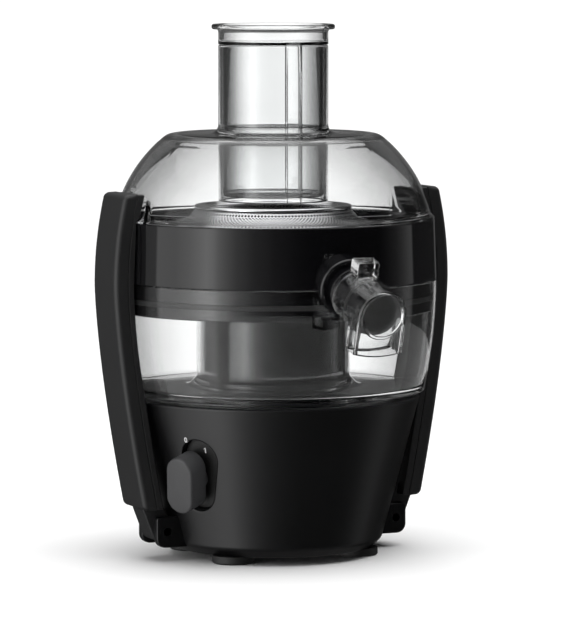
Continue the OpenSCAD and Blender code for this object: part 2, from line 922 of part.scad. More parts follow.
module juice_collector() {
    color([0.05, 0.05, 0.055])
        difference() {
            union() {
                rotate_extrude()
                    polygon([
                        [skirt_r - wall, skirt_z], [skirt_r, skirt_z],
                        [skirt_r, seal_z - 0.1], [skirt_r - 1.2, seal_z - 0.1],
                        [skirt_r - 1.2, seal_z + seal_h + 0.1], [skirt_r, seal_z + seal_h + 0.1],
                        [skirt_r, band_z], [bowl_r, band_z],
                        [bowl_r, band_z + 2], [band_top_r, lid_z], [band_top_r - wall, lid_z],
                        [bowl_r - wall, band_z + 3], [skirt_r - wall, trough_z],
                        [trough_wall_r, trough_z], [trough_wall_r, trough_z + trough_wall_h],
                        [trough_wall_r - trough_wall_t, trough_z + trough_wall_h],
                        [trough_wall_r - trough_wall_t, trough_z - trough_t],
                        [skirt_r - wall, trough_z - trough_t]
                    ]);
                intersection() {
                    at_spout() translate([0, 0, -12]) cylinder(r = collar_r, h = 12 + collar_len);
                    difference() {
                        translate([0, 0, trough_z - trough_t]) cylinder(r = bowl_r + 20, h = band_h + 20);
                        translate([0, 0, -1]) cylinder(r = skirt_r - wall, h = lid_z);
                        container_space();
                    }
                }
            }
            at_spout() translate([0, 0, -30]) cylinder(r = spout_bore_r, h = 60);
            at_spout() translate([0, 0, -spout_root]) cylinder(r = spout_r + seat_gap, h = 60);
        }
}

// Everything up to the container's rim, which passes under the collar and the tube's root
module container_space() {
    translate([0, 0, -1]) cylinder(r = bowl_r + lift_gap, h = band_z + 1);
}

module spout_tube() {
    color([0.06, 0.06, 0.065])
        difference() {
            at_spout() {
                translate([0, 0, -spout_root + seat_gap])
                    cylinder(r = spout_r, h = spout_len + spout_root - seat_gap);
                translate([0, 0, step_ring_z]) cylinder(r = step_ring_r, h = step_ring_h);
            }
            at_spout() {
                translate([0, 0, -spout_root - 1]) cylinder(r = spout_bore_r, h = spout_len + spout_root + 2);
                translate([0, 0, ring_z]) ring(spout_r + 1, spout_r - ring_depth, ring_w);
            }
            container_space();
        }
}

module spout_ring() {
    color([0.1, 0.1, 0.1])
        at_spout()
            translate([0, 0, ring_z + 0.1])
                ring(nozzle_bore_r - run_gap, spout_r - ring_depth + seat_gap, ring_w - 0.2);
}

module outlet(half_w, back, front, drop) {
    translate([-half_w, -drop, back]) cube([2 * half_w, drop, front - back]);
}

module spout_nozzle() {
    color([0.55, 0.56, 0.58, 0.45])
        at_spout()
            difference() {
                union() {
                    translate([0, 0, nozzle_start]) cylinder(r = nozzle_r, h = nozzle_end - nozzle_start);
                    outlet(nozzle_r, chamber_back, nozzle_end, outlet_drop);
                    translate([-tab_w / 2, nozzle_r - 1, nozzle_start + 2])
                        cube([tab_w, tab_h, tab_len]);
                }
                translate([0, 0, nozzle_start - 1])
                    cylinder(r = nozzle_bore_r, h = nozzle_end - nozzle_wall - nozzle_start + 1);
                outlet(nozzle_bore_r, chamber_back + nozzle_wall, nozzle_end - nozzle_wall, outlet_drop + 1);
                for (i = [0 : 2])
                    translate([-tab_w / 2 - 1, nozzle_r + tab_h - 1.5, nozzle_start + 4 + 3 * i])
                        cube([tab_w + 2, 2, 1.2]);
            }
}

// Lid and pusher

module lid_section() {
    low = lid_z + dome_foot_h;
    polygon(concat(
        [[0, lid_z], [band_top_r, lid_z], [band_top_r, lid_z + 1.2]],
        dome_outline(0, low, dome_z),
        [[0, dome_z]]
    ));
}

// The flat pockets in the lid's rim that let it rise between the arms' noses
module lid_pockets(inset) {
    half_w = arm_w / 2 + lid_pocket_gap + inset;
    in_x = dome_r(arm_top_z, 0) + arm_gap - lid_pocket_gap - inset;
    for (side = [-1, 1])
        scale([side, 1, 1])
            translate([in_x, -half_w, lid_z - lip_h - 2]) cube([30, 2 * half_w, arm_top_z - lid_z + 30]);
}

module feed_lid() {
    under_z = dome_z - wall;
    low = lid_z + dome_foot_h;
    color([0.62, 0.63, 0.65, 0.35])
        union() {
            difference() {
                union() {
                    rotate_extrude() lid_section();
                    translate([0, 0, lid_z - lip_h])
                        cylinder(r = band_top_r - wall - lift_gap, h = lip_h + eps);
                }
                lid_pockets(0);
                difference() {
                    rotate_extrude()
                        polygon(concat(
                            [[0, lid_z - lip_h - 1], [band_top_r - 2 * wall - lift_gap, lid_z - lip_h - 1]],
                            dome_outline(wall, low, under_z),
                            [[0, under_z]]
                        ));
                    lid_pockets(wall);
                }
                translate([0, 0, dome_z - wall - 1]) cylinder(r = tube_r - eps, h = wall + 2);
            }
            translate([0, 0, tube_low_z]) ring(tube_r, tube_in_r, tube_top_z - tube_low_z);
            translate([-key_w / 2, -tube_in_r - 1, tube_low_z])
                cube([key_w, key_d + 1, tube_top_z - tube_low_z - 4]);
        }
}

module lid_seal() {
    r_out = band_top_r - wall - lift_gap;
    color([0.75, 0.75, 0.75, 0.7])
        difference() {
            translate([0, 0, lid_z - lip_h - 2]) ring(r_out, r_out - wall, 1.8);
            lid_pockets(wall + 3);
        }
}

module pusher() {
    seat_z = tube_top_z + pusher_seat_gap;
    flange_z = seat_z + pusher_collar_h;
    top_z = flange_z + pusher_flange_t;
    groove_w = key_w + 1;
    groove_d = key_d + 0.6;
    color([0.5, 0.51, 0.53, 0.4])
        difference() {
            union() {
                translate([0, 0, pusher_low_z]) cylinder(r = pusher_r, h = top_z - pusher_low_z);
                translate([0, 0, seat_z]) cylinder(r = tube_r, h = top_z - seat_z);
                translate([0, 0, flange_z]) cylinder(r = pusher_flange_r, h = pusher_flange_t);
            }
            difference() {
                union() {
                    translate([0, 0, pusher_low_z + pusher_wall])
                        cylinder(r = pusher_r - pusher_wall, h = top_z - pusher_low_z);
                    translate([0, 0, seat_z + pusher_wall])
                        cylinder(r = tube_r - pusher_wall, h = top_z - seat_z);
                }
                translate([-groove_w / 2 - pusher_wall, -tube_r, pusher_low_z])
                    cube([
                        groove_w + 2 * pusher_wall,
                        tube_r - pusher_r + groove_d + pusher_wall,
                        seat_z - pusher_low_z + pusher_wall
                    ]);
            }
            translate([-groove_w / 2, -pusher_r - 1, pusher_low_z - 1])
                cube([groove_w, groove_d + 1, seat_z - pusher_low_z + 1]);
        }
}

// Arms

// A slab of the arm between two depths under its outer face, in the X-Z plane
module arm_slab(depth_out, depth_in, half_w, low, top) {
    translate([0, half_w, 0])
        rotate([90, 0, 0])
            linear_extrude(2 * half_w)
                polygon(concat(
                    [for (i = [0 : arm_steps])
                        let (z = low + (top - low) * i / arm_steps) [arm_r(z) - depth_out, z]],
                    [for (i = [arm_steps : -1 : 0])
                        let (z = low + (top - low) * i / arm_steps) [arm_r(z) - depth_in, z]]
                ));
}

// Everything the arms have to stay clear of: base, container, band and dome grown by the arm gap
module clamped_stack() {
    grow = arm_gap;
    low = lid_z + dome_foot_h;
    rotate_extrude($fn = 360)
        polygon(concat(
            [[0, base_foot_z], [base_foot_r + grow, base_foot_z], [base_top_r + grow, deck_z]],
            [for (p = container_outline(0)) [p[0] + grow, p[1]]],
            [[band_top_r + grow, lid_z + 1.2]],
            [for (p = dome_outline(0, low, dome_z)) [p[0] + grow, p[1] + grow / 2]],
            [[0, dome_z]]
        ));
}

module arm_shell() {
    half = arm_w / 2;
    difference() {
        arm_slab(0, arm_shell_t, half, arm_foot_z, arm_top_z);
        arm_slab(wall, arm_shell_t + 1, half - wall, arm_foot_z + wall, arm_top_z - wall);
    }
}

module arm_tongue() {
    half = tongue_w / 2;
    root_z = arm_foot_z + 8;
    shell_in_r = arm_r(arm_foot_z) - arm_shell_t;
    translate([0, half, 0])
        rotate([90, 0, 0])
            linear_extrude(2 * half) {
                translate([pivot_r, pivot_z]) circle(r = tongue_r);
                polygon([
                    [pivot_r - 6, pivot_z + 2.4], [pivot_r + 5.2, pivot_z - 3.8],
                    [arm_foot_r - 3, arm_foot_z - 0.3], [shell_in_r, arm_foot_z - 0.3],
                    [shell_in_r, root_z], [arm_r(root_z) - arm_t, root_z]
                ]);
            }
}

module arm_liner() {
    half = arm_w / 2;
    difference() {
        union() {
            difference() {
                arm_slab(arm_shell_t, arm_t, half, arm_foot_z, arm_top_z);
                clamped_stack();
            }
            arm_tongue();
        }
        translate([pivot_r, half, pivot_z])
            rotate([90, 0, 0]) cylinder(r = pivot_pin_r + run_gap, h = 2 * half);
        arm_screw_set(seat_gap);
        pad_slice(seat_gap);
    }
}

module arm_screw_set(gap) {
    for (z = arm_screw_z)
        translate([arm_r(z) - arm_t - eps, 0, z])
            rotate([0, 90, 0]) {
                cylinder(r = screw_r + gap, h = arm_t - wall - 1);
                cylinder(r = screw_head_r + gap, h = screw_head_t + gap);
            }
}

module pad_slice(gap) {
    rotate([0, 0, -pad_angle / 2])
        rotate_extrude(angle = pad_angle)
            translate([bowl_r + arm_gap, pad_z[0]])
                square([pad_t + gap, pad_z[1] - pad_z[0]]);
}

module on_side(side) {
    scale([side, 1, 1]) children();
}

module left_arm_shell() { color([0.1, 0.1, 0.105]) on_side(-1) arm_shell(); }

module left_arm_liner() { color([0.08, 0.08, 0.085]) on_side(-1) arm_liner(); }

module left_arm_pad() { color([0.2, 0.2, 0.2]) on_side(-1) pad_slice(0); }

module left_arm_screws() { color([0.6, 0.6, 0.62]) on_side(-1) arm_screw_set(0); }

module right_arm_shell() { color([0.1, 0.1, 0.105]) on_side(1) arm_shell(); }

module right_arm_liner() { color([0.08, 0.08, 0.085]) on_side(1) arm_liner(); }

module right_arm_pad() { color([0.2, 0.2, 0.2]) on_side(1) pad_slice(0); }

module right_arm_screws() { color([0.6, 0.6, 0.62]) on_side(1) arm_screw_set(0); }

base_housing();
motor_tower();
bottom_cover();
feet();
cover_screws();
cord_gland();
dial_plate();
dial_marks();
rotary_switch();
knob();
knob_shaft();
arm_pins();
interlock_switches();
lower_motor_bracket();
upper_motor_bracket();
rubber_mounts();
motor_screws();
stator_core();
field_coils();
carbon_brushes();
brush_holders();
lower_bearing();
upper_bearing();
shaft_seal();
motor_shaft();
rotor_core();
rotor_windings();
commutator();
cooling_fan();
drive_coupling();
sieve_carrier();
sieve_cone();
sieve_rim();
grater_disc();
grater_nut();
pulp_container();
container_seal();
juice_collector();
spout_tube();
spout_ring();
spout_nozzle();
feed_lid();
lid_seal();
pusher();
left_arm_shell();
left_arm_liner();
left_arm_pad();
left_arm_screws();
right_arm_shell();
right_arm_liner();
right_arm_pad();
right_arm_screws();
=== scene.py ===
"""Looks of a centrifugal juicer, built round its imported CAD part. Metres, Z up, the spout points to -Y."""

import json
import math

import bmesh
import bpy
import numpy as np
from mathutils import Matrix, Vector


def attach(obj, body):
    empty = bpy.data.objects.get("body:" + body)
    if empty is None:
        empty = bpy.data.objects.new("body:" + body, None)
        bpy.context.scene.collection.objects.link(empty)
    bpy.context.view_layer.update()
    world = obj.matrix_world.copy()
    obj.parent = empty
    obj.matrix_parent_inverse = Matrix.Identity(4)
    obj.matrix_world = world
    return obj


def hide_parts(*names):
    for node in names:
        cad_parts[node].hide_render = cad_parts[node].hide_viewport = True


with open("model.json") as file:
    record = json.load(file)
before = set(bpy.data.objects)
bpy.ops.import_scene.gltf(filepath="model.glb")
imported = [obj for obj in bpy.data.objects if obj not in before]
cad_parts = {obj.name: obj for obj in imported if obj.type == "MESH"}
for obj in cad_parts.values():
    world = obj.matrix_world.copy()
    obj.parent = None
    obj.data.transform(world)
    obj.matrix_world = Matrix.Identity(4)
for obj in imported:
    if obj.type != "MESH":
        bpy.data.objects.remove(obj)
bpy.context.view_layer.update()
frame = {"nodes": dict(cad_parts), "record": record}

MM = 0.001
TAU = 2 * math.pi
SMOOTH_BELOW = 40.0

# ---------------------------------------------------------------- camera

CAMERA_SPOT = (-1.1114, -2.4387, 0.394)
CAMERA_AIM = (0.0044, -0.0020, 0.1472)


def place_camera():
    """A long lens aimed at the middle of the juicer from front left, a little above it."""
    data = bpy.data.cameras.new("studio_camera")
    data.lens, data.sensor_width = 242.0, 36.0
    data.clip_end = 200.0
    cam = bpy.data.objects.new("studio_camera", data)
    bpy.context.scene.collection.objects.link(cam)
    spot, aim = Vector(CAMERA_SPOT), Vector(CAMERA_AIM)
    cam.location = spot
    cam.rotation_euler = (aim - spot).to_track_quat("-Z", "Y").to_euler()
    bpy.context.scene.camera = cam


# ---------------------------------------------------------------- measures in millimetres

DECK_Z, BAND_Z, LID_Z, DOME_Z, TUBE_Z = 100.0, 173.5, 211.0, 264.0, 319.0
BOWL_R, BAND_TOP_R, FOOT_R, TOP_R = 102.5, 101.2, 68.5, 92.0
FOOT_Z = 11.0
BASE_SLOPE = (TOP_R - FOOT_R) / (DECK_Z - FOOT_Z)
BASE_TILT = math.degrees(math.atan(BASE_SLOPE))
CONTAINER_Z, CONTAINER_H = 103.0, 70.5
TOWER_R, TOWER_Z = 45.45, 158.0
COLUMN_IN, COLUMN_R, COLUMN_Z = 46.1, 48.3, 156.0
DOME_A, DOME_B, DOME_C = 101.0, 91.0, 195.0
LID_WALL = 2.5
TUBE_R, TUBE_IN, TUBE_LOW = 34.4, 32.0, 221.5
KEY_HALF, KEY_DEEP = 4.5, 2.6
POCKET_HALF, POCKET_X = 18.6, 93.9
SIEVE_LOW, SIEVE_TOP = 176.05, 217.0
ARM_LOW, ARM_HIGH = 33.0, 229.0
ARM_PEAK_R, ARM_PEAK_Z, ARM_FOOT_DROP, ARM_NOSE_DROP = 114.6, 172.0, 19.19, 6.9
OVAL_LEN, OVAL_W, OVAL_LEAN, OVAL_SHIFT = 47.0, 25.0, 15.0, (3.0, 1.5)
RECESS_FLOOR, RECESS_EDGE = -6.5, 1.2
KNOB_LEAN, KNOB_LEN, KNOB_W = 11.0, 36.5, 19.3
SPOUT_SLOPE, DIAL_Z, DIAL_TURN = 16, 55, -62
SPOUT_R, SPOUT_IN, SPOUT_LEN = 13.9, 11.4, 50
HOOD_R, HOOD_IN = 16, 14.2


def base_r(z):
    """Outer radius of the base at height z: a straight cone."""
    return FOOT_R + BASE_SLOPE * (z - FOOT_Z)


def container_r(z):
    """Outer radius of the container at height z: a parabola, upright at the rim."""
    return BOWL_R - 7.5 * (1 - (z - CONTAINER_Z) / CONTAINER_H) ** 2


def dome_r(z, inset=0.0):
    """Radius of the dome at height z: an ellipse about the drive axis, made smaller by inset."""
    return (DOME_A - inset) * np.sqrt(np.clip(1 - ((z - DOME_C) / (DOME_B - inset)) ** 2, 0, 1))


def arm_r(z):
    """Distance of an arm's outer face from the axis: a peak less a power of the depth below it, or less a parabola
    above it."""
    low = ARM_PEAK_R - ARM_FOOT_DROP * (np.clip(ARM_PEAK_Z - z, 0, None) / (ARM_PEAK_Z - ARM_LOW)) ** 1.45
    return low - ARM_NOSE_DROP * (np.clip(z - ARM_PEAK_Z, 0, None) / (ARM_HIGH - ARM_PEAK_Z)) ** 2


# ---------------------------------------------------------------- frames

def move(x, y, z):
    """A 4 by 4 shift."""
    m = np.eye(4)
    m[:3, 3] = (x, y, z)
    return m


def turn(axis, degrees):
    """A 4 by 4 turn about the X, Y or Z axis."""
    m = np.eye(4)
    c, s = math.cos(math.radians(degrees)), math.sin(math.radians(degrees))
    a, b = {"x": (1, 2), "y": (2, 0), "z": (0, 1)}[axis]
    m[a, a] = m[b, b] = c
    m[a, b], m[b, a] = -s, s
    return m


def put(m, points):
    """Points carried by a 4 by 4 frame."""
    return points @ m[:3, :3].T + m[:3, 3]


AT_DIAL = turn("z", DIAL_TURN) @ move(0, -float(base_r(DIAL_Z)), DIAL_Z) @ turn("x", 90 + BASE_TILT)
AT_SPOUT = move(0, -BOWL_R, BAND_Z + 3.5) @ turn("x", 90 + SPOUT_SLOPE)
ON_SIDE = turn("x", 90)


# ---------------------------------------------------------------- surfaces

def quads(rows, cols, wrap_rows=False, wrap_cols=False, first=0):
    """Quads between neighbours of a rows by cols grid of points, numbered row by row."""
    i = np.arange(rows if wrap_rows else rows - 1)[:, None]
    j = np.arange(cols if wrap_cols else cols - 1)[None, :]
    i2, j2 = (i + 1) % rows, (j + 1) % cols
    return (np.stack([i * cols + j, i * cols + j2, i2 * cols + j2, i2 * cols + j], -1) + first).reshape(-1, 4)


def rounded(corners, closed=True, steps=6, hold=0.35):
    """Outline through corners (x, y, radius): each corner is an arc tangent to both sides, with a point just past
    each arc's end so that the flats stay flat."""
    c = [np.array(p[:2], float) for p in corners]
    n = len(c)
    out = []
    for k in range(n):
        if not closed and k in (0, n - 1):
            out.append(c[k][None])
            continue
        p, a, b = c[k], c[k - 1], c[(k + 1) % n]
        ua, ub = a - p, b - p
        la, lb = np.linalg.norm(ua), np.linalg.norm(ub)
        ua, ub = ua / la, ub / lb
        half = math.acos(max(-1.0, min(1.0, float(ua @ ub)))) / 2
        r = corners[k][2] if len(corners[k]) > 2 else 0.0
        if r <= 0 or half > 1.55:
            out.append(p[None])
            continue
        reach = min(r / math.tan(half), 0.49 * la, 0.49 * lb)
        r = reach * math.tan(half)
        middle = p + (ua + ub) / np.linalg.norm(ua + ub) * (r / math.sin(half))
        start, end = p + ua * reach - middle, p + ub * reach - middle
        sweep = math.atan2(start[0] * end[1] - start[1] * end[0], float(start @ end))
        t = np.linspace(0, sweep, steps + 1)[:, None]
        side = np.array([-start[1], start[0]])
        arc = middle + start * np.cos(t) + side * np.sin(t)
        before = p + ua * min(reach + hold, 0.5 * la)
        after = p + ub * min(reach + hold, 0.5 * lb)
        out.append(np.vstack([before, arc, after]))
    return np.vstack(out)


def open_line(*corners, steps=6):
    """An open outline through corners (x, y, radius)."""
    return rounded(corners, closed=False, steps=steps)


def corner(point):
    """A point as a sharp corner."""
    return tuple(point) + (0,)


def turned(profile, angles=240, frame4=None):
    """A closed outline (radius, height) turned once round the Z axis: x = r sin a, y = -r cos a. angles is a count or
    an array in radians."""
    a = np.linspace(0, TAU, angles, endpoint=False) if np.isscalar(angles) else angles
    r, z = profile[:, 0], profile[:, 1]
    v = np.stack([np.sin(a)[:, None] * r, -np.cos(a)[:, None] * r, np.broadcast_to(z, (len(a), len(z)))], -1)
    v = v.reshape(-1, 3)
    return (v if frame4 is None else put(frame4, v)), quads(len(a), len(z), True, True)


def lathe(profile, angles=240, frame4=None):
    """An outline (radius, height) from axis to axis turned once round the Z axis."""
    v, _ = turned(profile, angles, frame4)
    n = angles if np.isscalar(angles) else len(angles)
    return v, quads(n, len(profile), True, False)


def lofted(rings, capped=True):
    """Closed rings of points joined row by row; the end rings are filled."""
    rows, cols = rings.shape[:2]
    faces = [list(map(int, f)) for f in quads(rows, cols, False, True)]
    if capped:
        faces.append(list(range(cols))[::-1])
        faces.append(list(range((rows - 1) * cols, rows * cols)))
    return rings.reshape(-1, 3), faces


def plate(outline, low, high, edge, frame4=None, steps=4):
    """An outline in X and Y given thickness from low to high, its edges rounded: the rings step inwards along the
    outline's normals by edge (1 - sin t) while the height goes by edge (1 - cos t)."""
    ahead, behind = np.roll(outline, -1, 0), np.roll(outline, 1, 0)
    along = ahead - behind
    area = float(np.sum(outline[:, 0] * ahead[:, 1] - ahead[:, 0] * outline[:, 1]))
    inward = np.stack([-along[:, 1], along[:, 0]], -1) * (1 if area > 0 else -1)
    inward /= np.linalg.norm(inward, axis=1)[:, None] + 1e-12
    t = np.linspace(0, math.pi / 2, steps + 1)
    heights = np.concatenate([low + edge * (1 - np.cos(t)), [low + edge * 1.3, high - edge * 1.3],
                              high - edge * (1 - np.cos(t[::-1]))])
    insets = np.concatenate([edge * (1 - np.sin(t)), [0, 0], edge * (1 - np.sin(t[::-1]))])
    flat = outline[None] + inward[None] * insets[:, None, None]
    rings = np.concatenate([flat, np.broadcast_to(heights[:, None, None], flat.shape[:2] + (1,))], -1)
    v, f = lofted(rings)
    return (v if frame4 is None else put(frame4, v)), f


def merged(*parts):
    """Several (points, faces) as one."""
    points, faces, first = [], [], 0
    for v, f in parts:
        points.append(v)
        faces += [[int(i) + first for i in face] for face in f]
        first += len(v)
    return np.vstack(points), faces


def welded(name, part):
    """A mesh and its bmesh from millimetre points and faces, with doubled points joined."""
    v, f = part
    data = bpy.data.meshes.new(name)
    data.from_pydata((np.asarray(v) * MM).tolist(), [], [list(map(int, face)) for face in f])
    bm = bmesh.new()
    bm.from_mesh(data)
    bmesh.ops.remove_doubles(bm, verts=bm.verts, dist=2e-6)
    return data, bm


def piece(name, part, material, body, slot, *nodes):
    """A finished piece from millimetre points: welded, faces turned outwards, shaded smooth below an angle, put on
    its CAD body."""
    data, bm = welded(name, part)
    bmesh.ops.dissolve_degenerate(bm, dist=1e-6, edges=bm.edges)
    bmesh.ops.recalc_face_normals(bm, faces=bm.faces)
    limit = math.radians(SMOOTH_BELOW)
    for face in bm.faces:
        face.smooth = True
    for e in bm.edges:
        e.smooth = len(e.link_faces) != 2 or e.calc_face_angle(0.0) < limit
    bm.to_mesh(data)
    bm.free()
    data.materials.append(material)
    obj = bpy.data.objects.new(name, data)
    bpy.context.scene.collection.objects.link(obj)
    if nodes:
        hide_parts(*nodes)
    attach(obj, body)
    return obj


# ---------------------------------------------------------------- finishes

def finish(name, colour, rough, metal=0.0, grain=900.0, tone=0.06, bump=0.06, rough_spread=0.06, **sockets):
    """A Principled finish whose colour, roughness and height vary with fine noise read in object coordinates."""
    mat = bpy.data.materials.new(name)
    mat.use_nodes = True
    tree = mat.node_tree
    node, link = tree.nodes, tree.links
    shader = node["Principled BSDF"]
    shader.inputs["Metallic"].default_value = metal
    for key, value in sockets.items():
        shader.inputs[key.replace("_", " ")].default_value = value
    where = node.new("ShaderNodeTexCoord")
    fine = node.new("ShaderNodeTexNoise")
    fine.inputs["Scale"].default_value = grain
    fine.inputs["Detail"].default_value = 4.0
    broad = node.new("ShaderNodeTexNoise")
    broad.inputs["Scale"].default_value = 26.0
    broad.inputs["Detail"].default_value = 5.0
    for tex in (fine, broad):
        link.new(where.outputs["Object"], tex.inputs["Vector"])
    ramp = node.new("ShaderNodeValToRGB")
    low, high = ramp.color_ramp.elements
    low.position, high.position = 0.3, 0.7
    low.color = tuple(max(0.0, c * (1 - tone)) for c in colour) + (1.0,)
    high.color = tuple(min(1.0, c * (1 + tone)) for c in colour) + (1.0,)
    link.new(broad.outputs["Fac"], ramp.inputs["Fac"])
    link.new(ramp.outputs["Color"], shader.inputs["Base Color"])
    spread = node.new("ShaderNodeMapRange")
    spread.inputs["To Min"].default_value = max(0.0, rough - rough_spread / 2)
    spread.inputs["To Max"].default_value = min(1.0, rough + rough_spread / 2)
    link.new(broad.outputs["Fac"], spread.inputs["Value"])
    link.new(spread.outputs["Result"], shader.inputs["Roughness"])
    if bump > 0:
        height = node.new("ShaderNodeBump")
        height.inputs["Strength"].default_value = bump
        height.inputs["Distance"].default_value = 0.0002
        link.new(fine.outputs["Fac"], height.inputs["Height"])
        link.new(height.outputs["Normal"], shader.inputs["Normal"])
    return mat


def ribbed(mat, axis, pitch, depth, dark):
    """Adds fine ribs across an axis to a finish: a sine of the object coordinate, used for height and for painted shade
    that darkens the troughs, partly the dark joints between the layers.
    """
    node, link = mat.node_tree.nodes, mat.node_tree.links
    where = next(n for n in node if n.bl_idname == "ShaderNodeTexCoord")
    split = node.new("ShaderNodeSeparateXYZ")
    link.new(where.outputs["Object"], split.inputs[0])
    wave = node.new("ShaderNodeMath")
    wave.operation = "MULTIPLY"
    wave.inputs[1].default_value = TAU / pitch
    link.new(split.outputs[axis], wave.inputs[0])
    sine = node.new("ShaderNodeMath")
    sine.operation = "SINE"
    link.new(wave.outputs[0], sine.inputs[0])
    shader = node["Principled BSDF"]
    height = node.new("ShaderNodeBump")
    height.inputs["Strength"].default_value = depth
    height.inputs["Distance"].default_value = 0.0003
    link.new(sine.outputs[0], height.inputs["Height"])
    link.new(height.outputs["Normal"], shader.inputs["Normal"])
    # Troughs multiplied towards grey: painted shade in the grooves, partly the dark joints between laminations and
    # turns
    mix = node.new("ShaderNodeMix")
    mix.data_type = "RGBA"
    mix.blend_type = "MULTIPLY"
    factor = node.new("ShaderNodeMapRange")
    factor.inputs["From Min"].default_value = 1.0
    factor.inputs["From Max"].default_value = -1.0
    factor.inputs["To Max"].default_value = dark
    link.new(sine.outputs[0], factor.inputs["Value"])
    link.new(factor.outputs["Result"], mix.inputs[0])
    old = shader.inputs["Base Color"].links[0].from_socket
    link.new(old, mix.inputs[6])
    mix.inputs[7].default_value = (0.25, 0.25, 0.25, 1.0)
    link.new(mix.outputs[2], shader.inputs["Base Color"])
    return mat


def perforated(mat):
    """Adds staggered small holes to a steel finish. Angle round the axis and height make a grid; the distance to the
    nearest grid point, each row shifted by half a step from the last, gives the holes: near-black dots of painted shade
    for the dark seen through them, sunk by a bump."""
    node, link = mat.node_tree.nodes, mat.node_tree.links
    shader = node["Principled BSDF"]
    where = next(n for n in node if n.bl_idname == "ShaderNodeTexCoord")
    split = node.new("ShaderNodeSeparateXYZ")
    link.new(where.outputs["Object"], split.inputs[0])

    def sums(kind, a, b=None):
        n = node.new("ShaderNodeMath")
        n.operation = kind
        for socket, value in zip(n.inputs, (a, b)):
            if value is None:
                continue
            if isinstance(value, (int, float)):
                socket.default_value = value
            else:
                link.new(value, socket)
        return n.outputs[0]

    angle = sums("ARCTAN2", split.outputs[1], split.outputs[0])
    column = sums("MULTIPLY", angle, 150 / TAU)
    row = sums("MULTIPLY", split.outputs[2], 500.0)
    shifted = sums("ADD", column, sums("MULTIPLY", sums("FLOOR", row), 0.5))
    across = sums("SUBTRACT", sums("FRACT", shifted), 0.5)
    up = sums("SUBTRACT", sums("FRACT", row), 0.5)
    far = sums("SQRT", sums("ADD", sums("MULTIPLY", across, across), sums("MULTIPLY", up, up)))
    hole = node.new("ShaderNodeMapRange")
    hole.interpolation_type = "SMOOTHSTEP"
    hole.inputs["From Min"].default_value = 0.28
    hole.inputs["From Max"].default_value = 0.36
    link.new(far, hole.inputs["Value"])
    mix = node.new("ShaderNodeMix")
    mix.data_type = "RGBA"
    link.new(hole.outputs["Result"], mix.inputs[0])
    # Near-black hole colour: painted shade for the dark inside the sieve seen through the holes
    mix.inputs[6].default_value = (0.01, 0.01, 0.01, 1)
    link.new(shader.inputs["Base Color"].links[0].from_socket, mix.inputs[7])
    link.new(mix.outputs[2], shader.inputs["Base Color"])
    height = node.new("ShaderNodeBump")
    height.inputs["Strength"].default_value = 0.6
    height.inputs["Distance"].default_value = 0.0004
    link.new(hole.outputs["Result"], height.inputs["Height"])
    link.new(height.outputs["Normal"], shader.inputs["Normal"])
    return mat


def smoke_and_edge_shade(mat, stops):
    """Darkens a clear finish towards glancing angles: partly the longer way light goes through the tinted plastic,
    partly painted shade for the darker edges of the clear parts. A ramp over the Layer Weight's facing value multiplies
    its colour."""
    node, link = mat.node_tree.nodes, mat.node_tree.links
    shader = node["Principled BSDF"]
    weight = node.new("ShaderNodeLayerWeight")
    weight.inputs["Blend"].default_value = 0.5
    ramp = node.new("ShaderNodeValToRGB")
    elements = ramp.color_ramp.elements
    while len(elements) < len(stops):
        elements.new(1.0)
    for element, (place, tone) in zip(elements, stops):
        element.position = place
        element.color = (tone, tone, tone, 1.0)
    link.new(weight.outputs["Facing"], ramp.inputs["Fac"])
    mix = node.new("ShaderNodeMix")
    mix.data_type, mix.blend_type = "RGBA", "MULTIPLY"
    mix.inputs[0].default_value = 1.0
    link.new(shader.inputs["Base Color"].links[0].from_socket, mix.inputs[6])
    link.new(ramp.outputs["Color"], mix.inputs[7])
    link.new(mix.outputs[2], shader.inputs["Base Color"])
    return mat


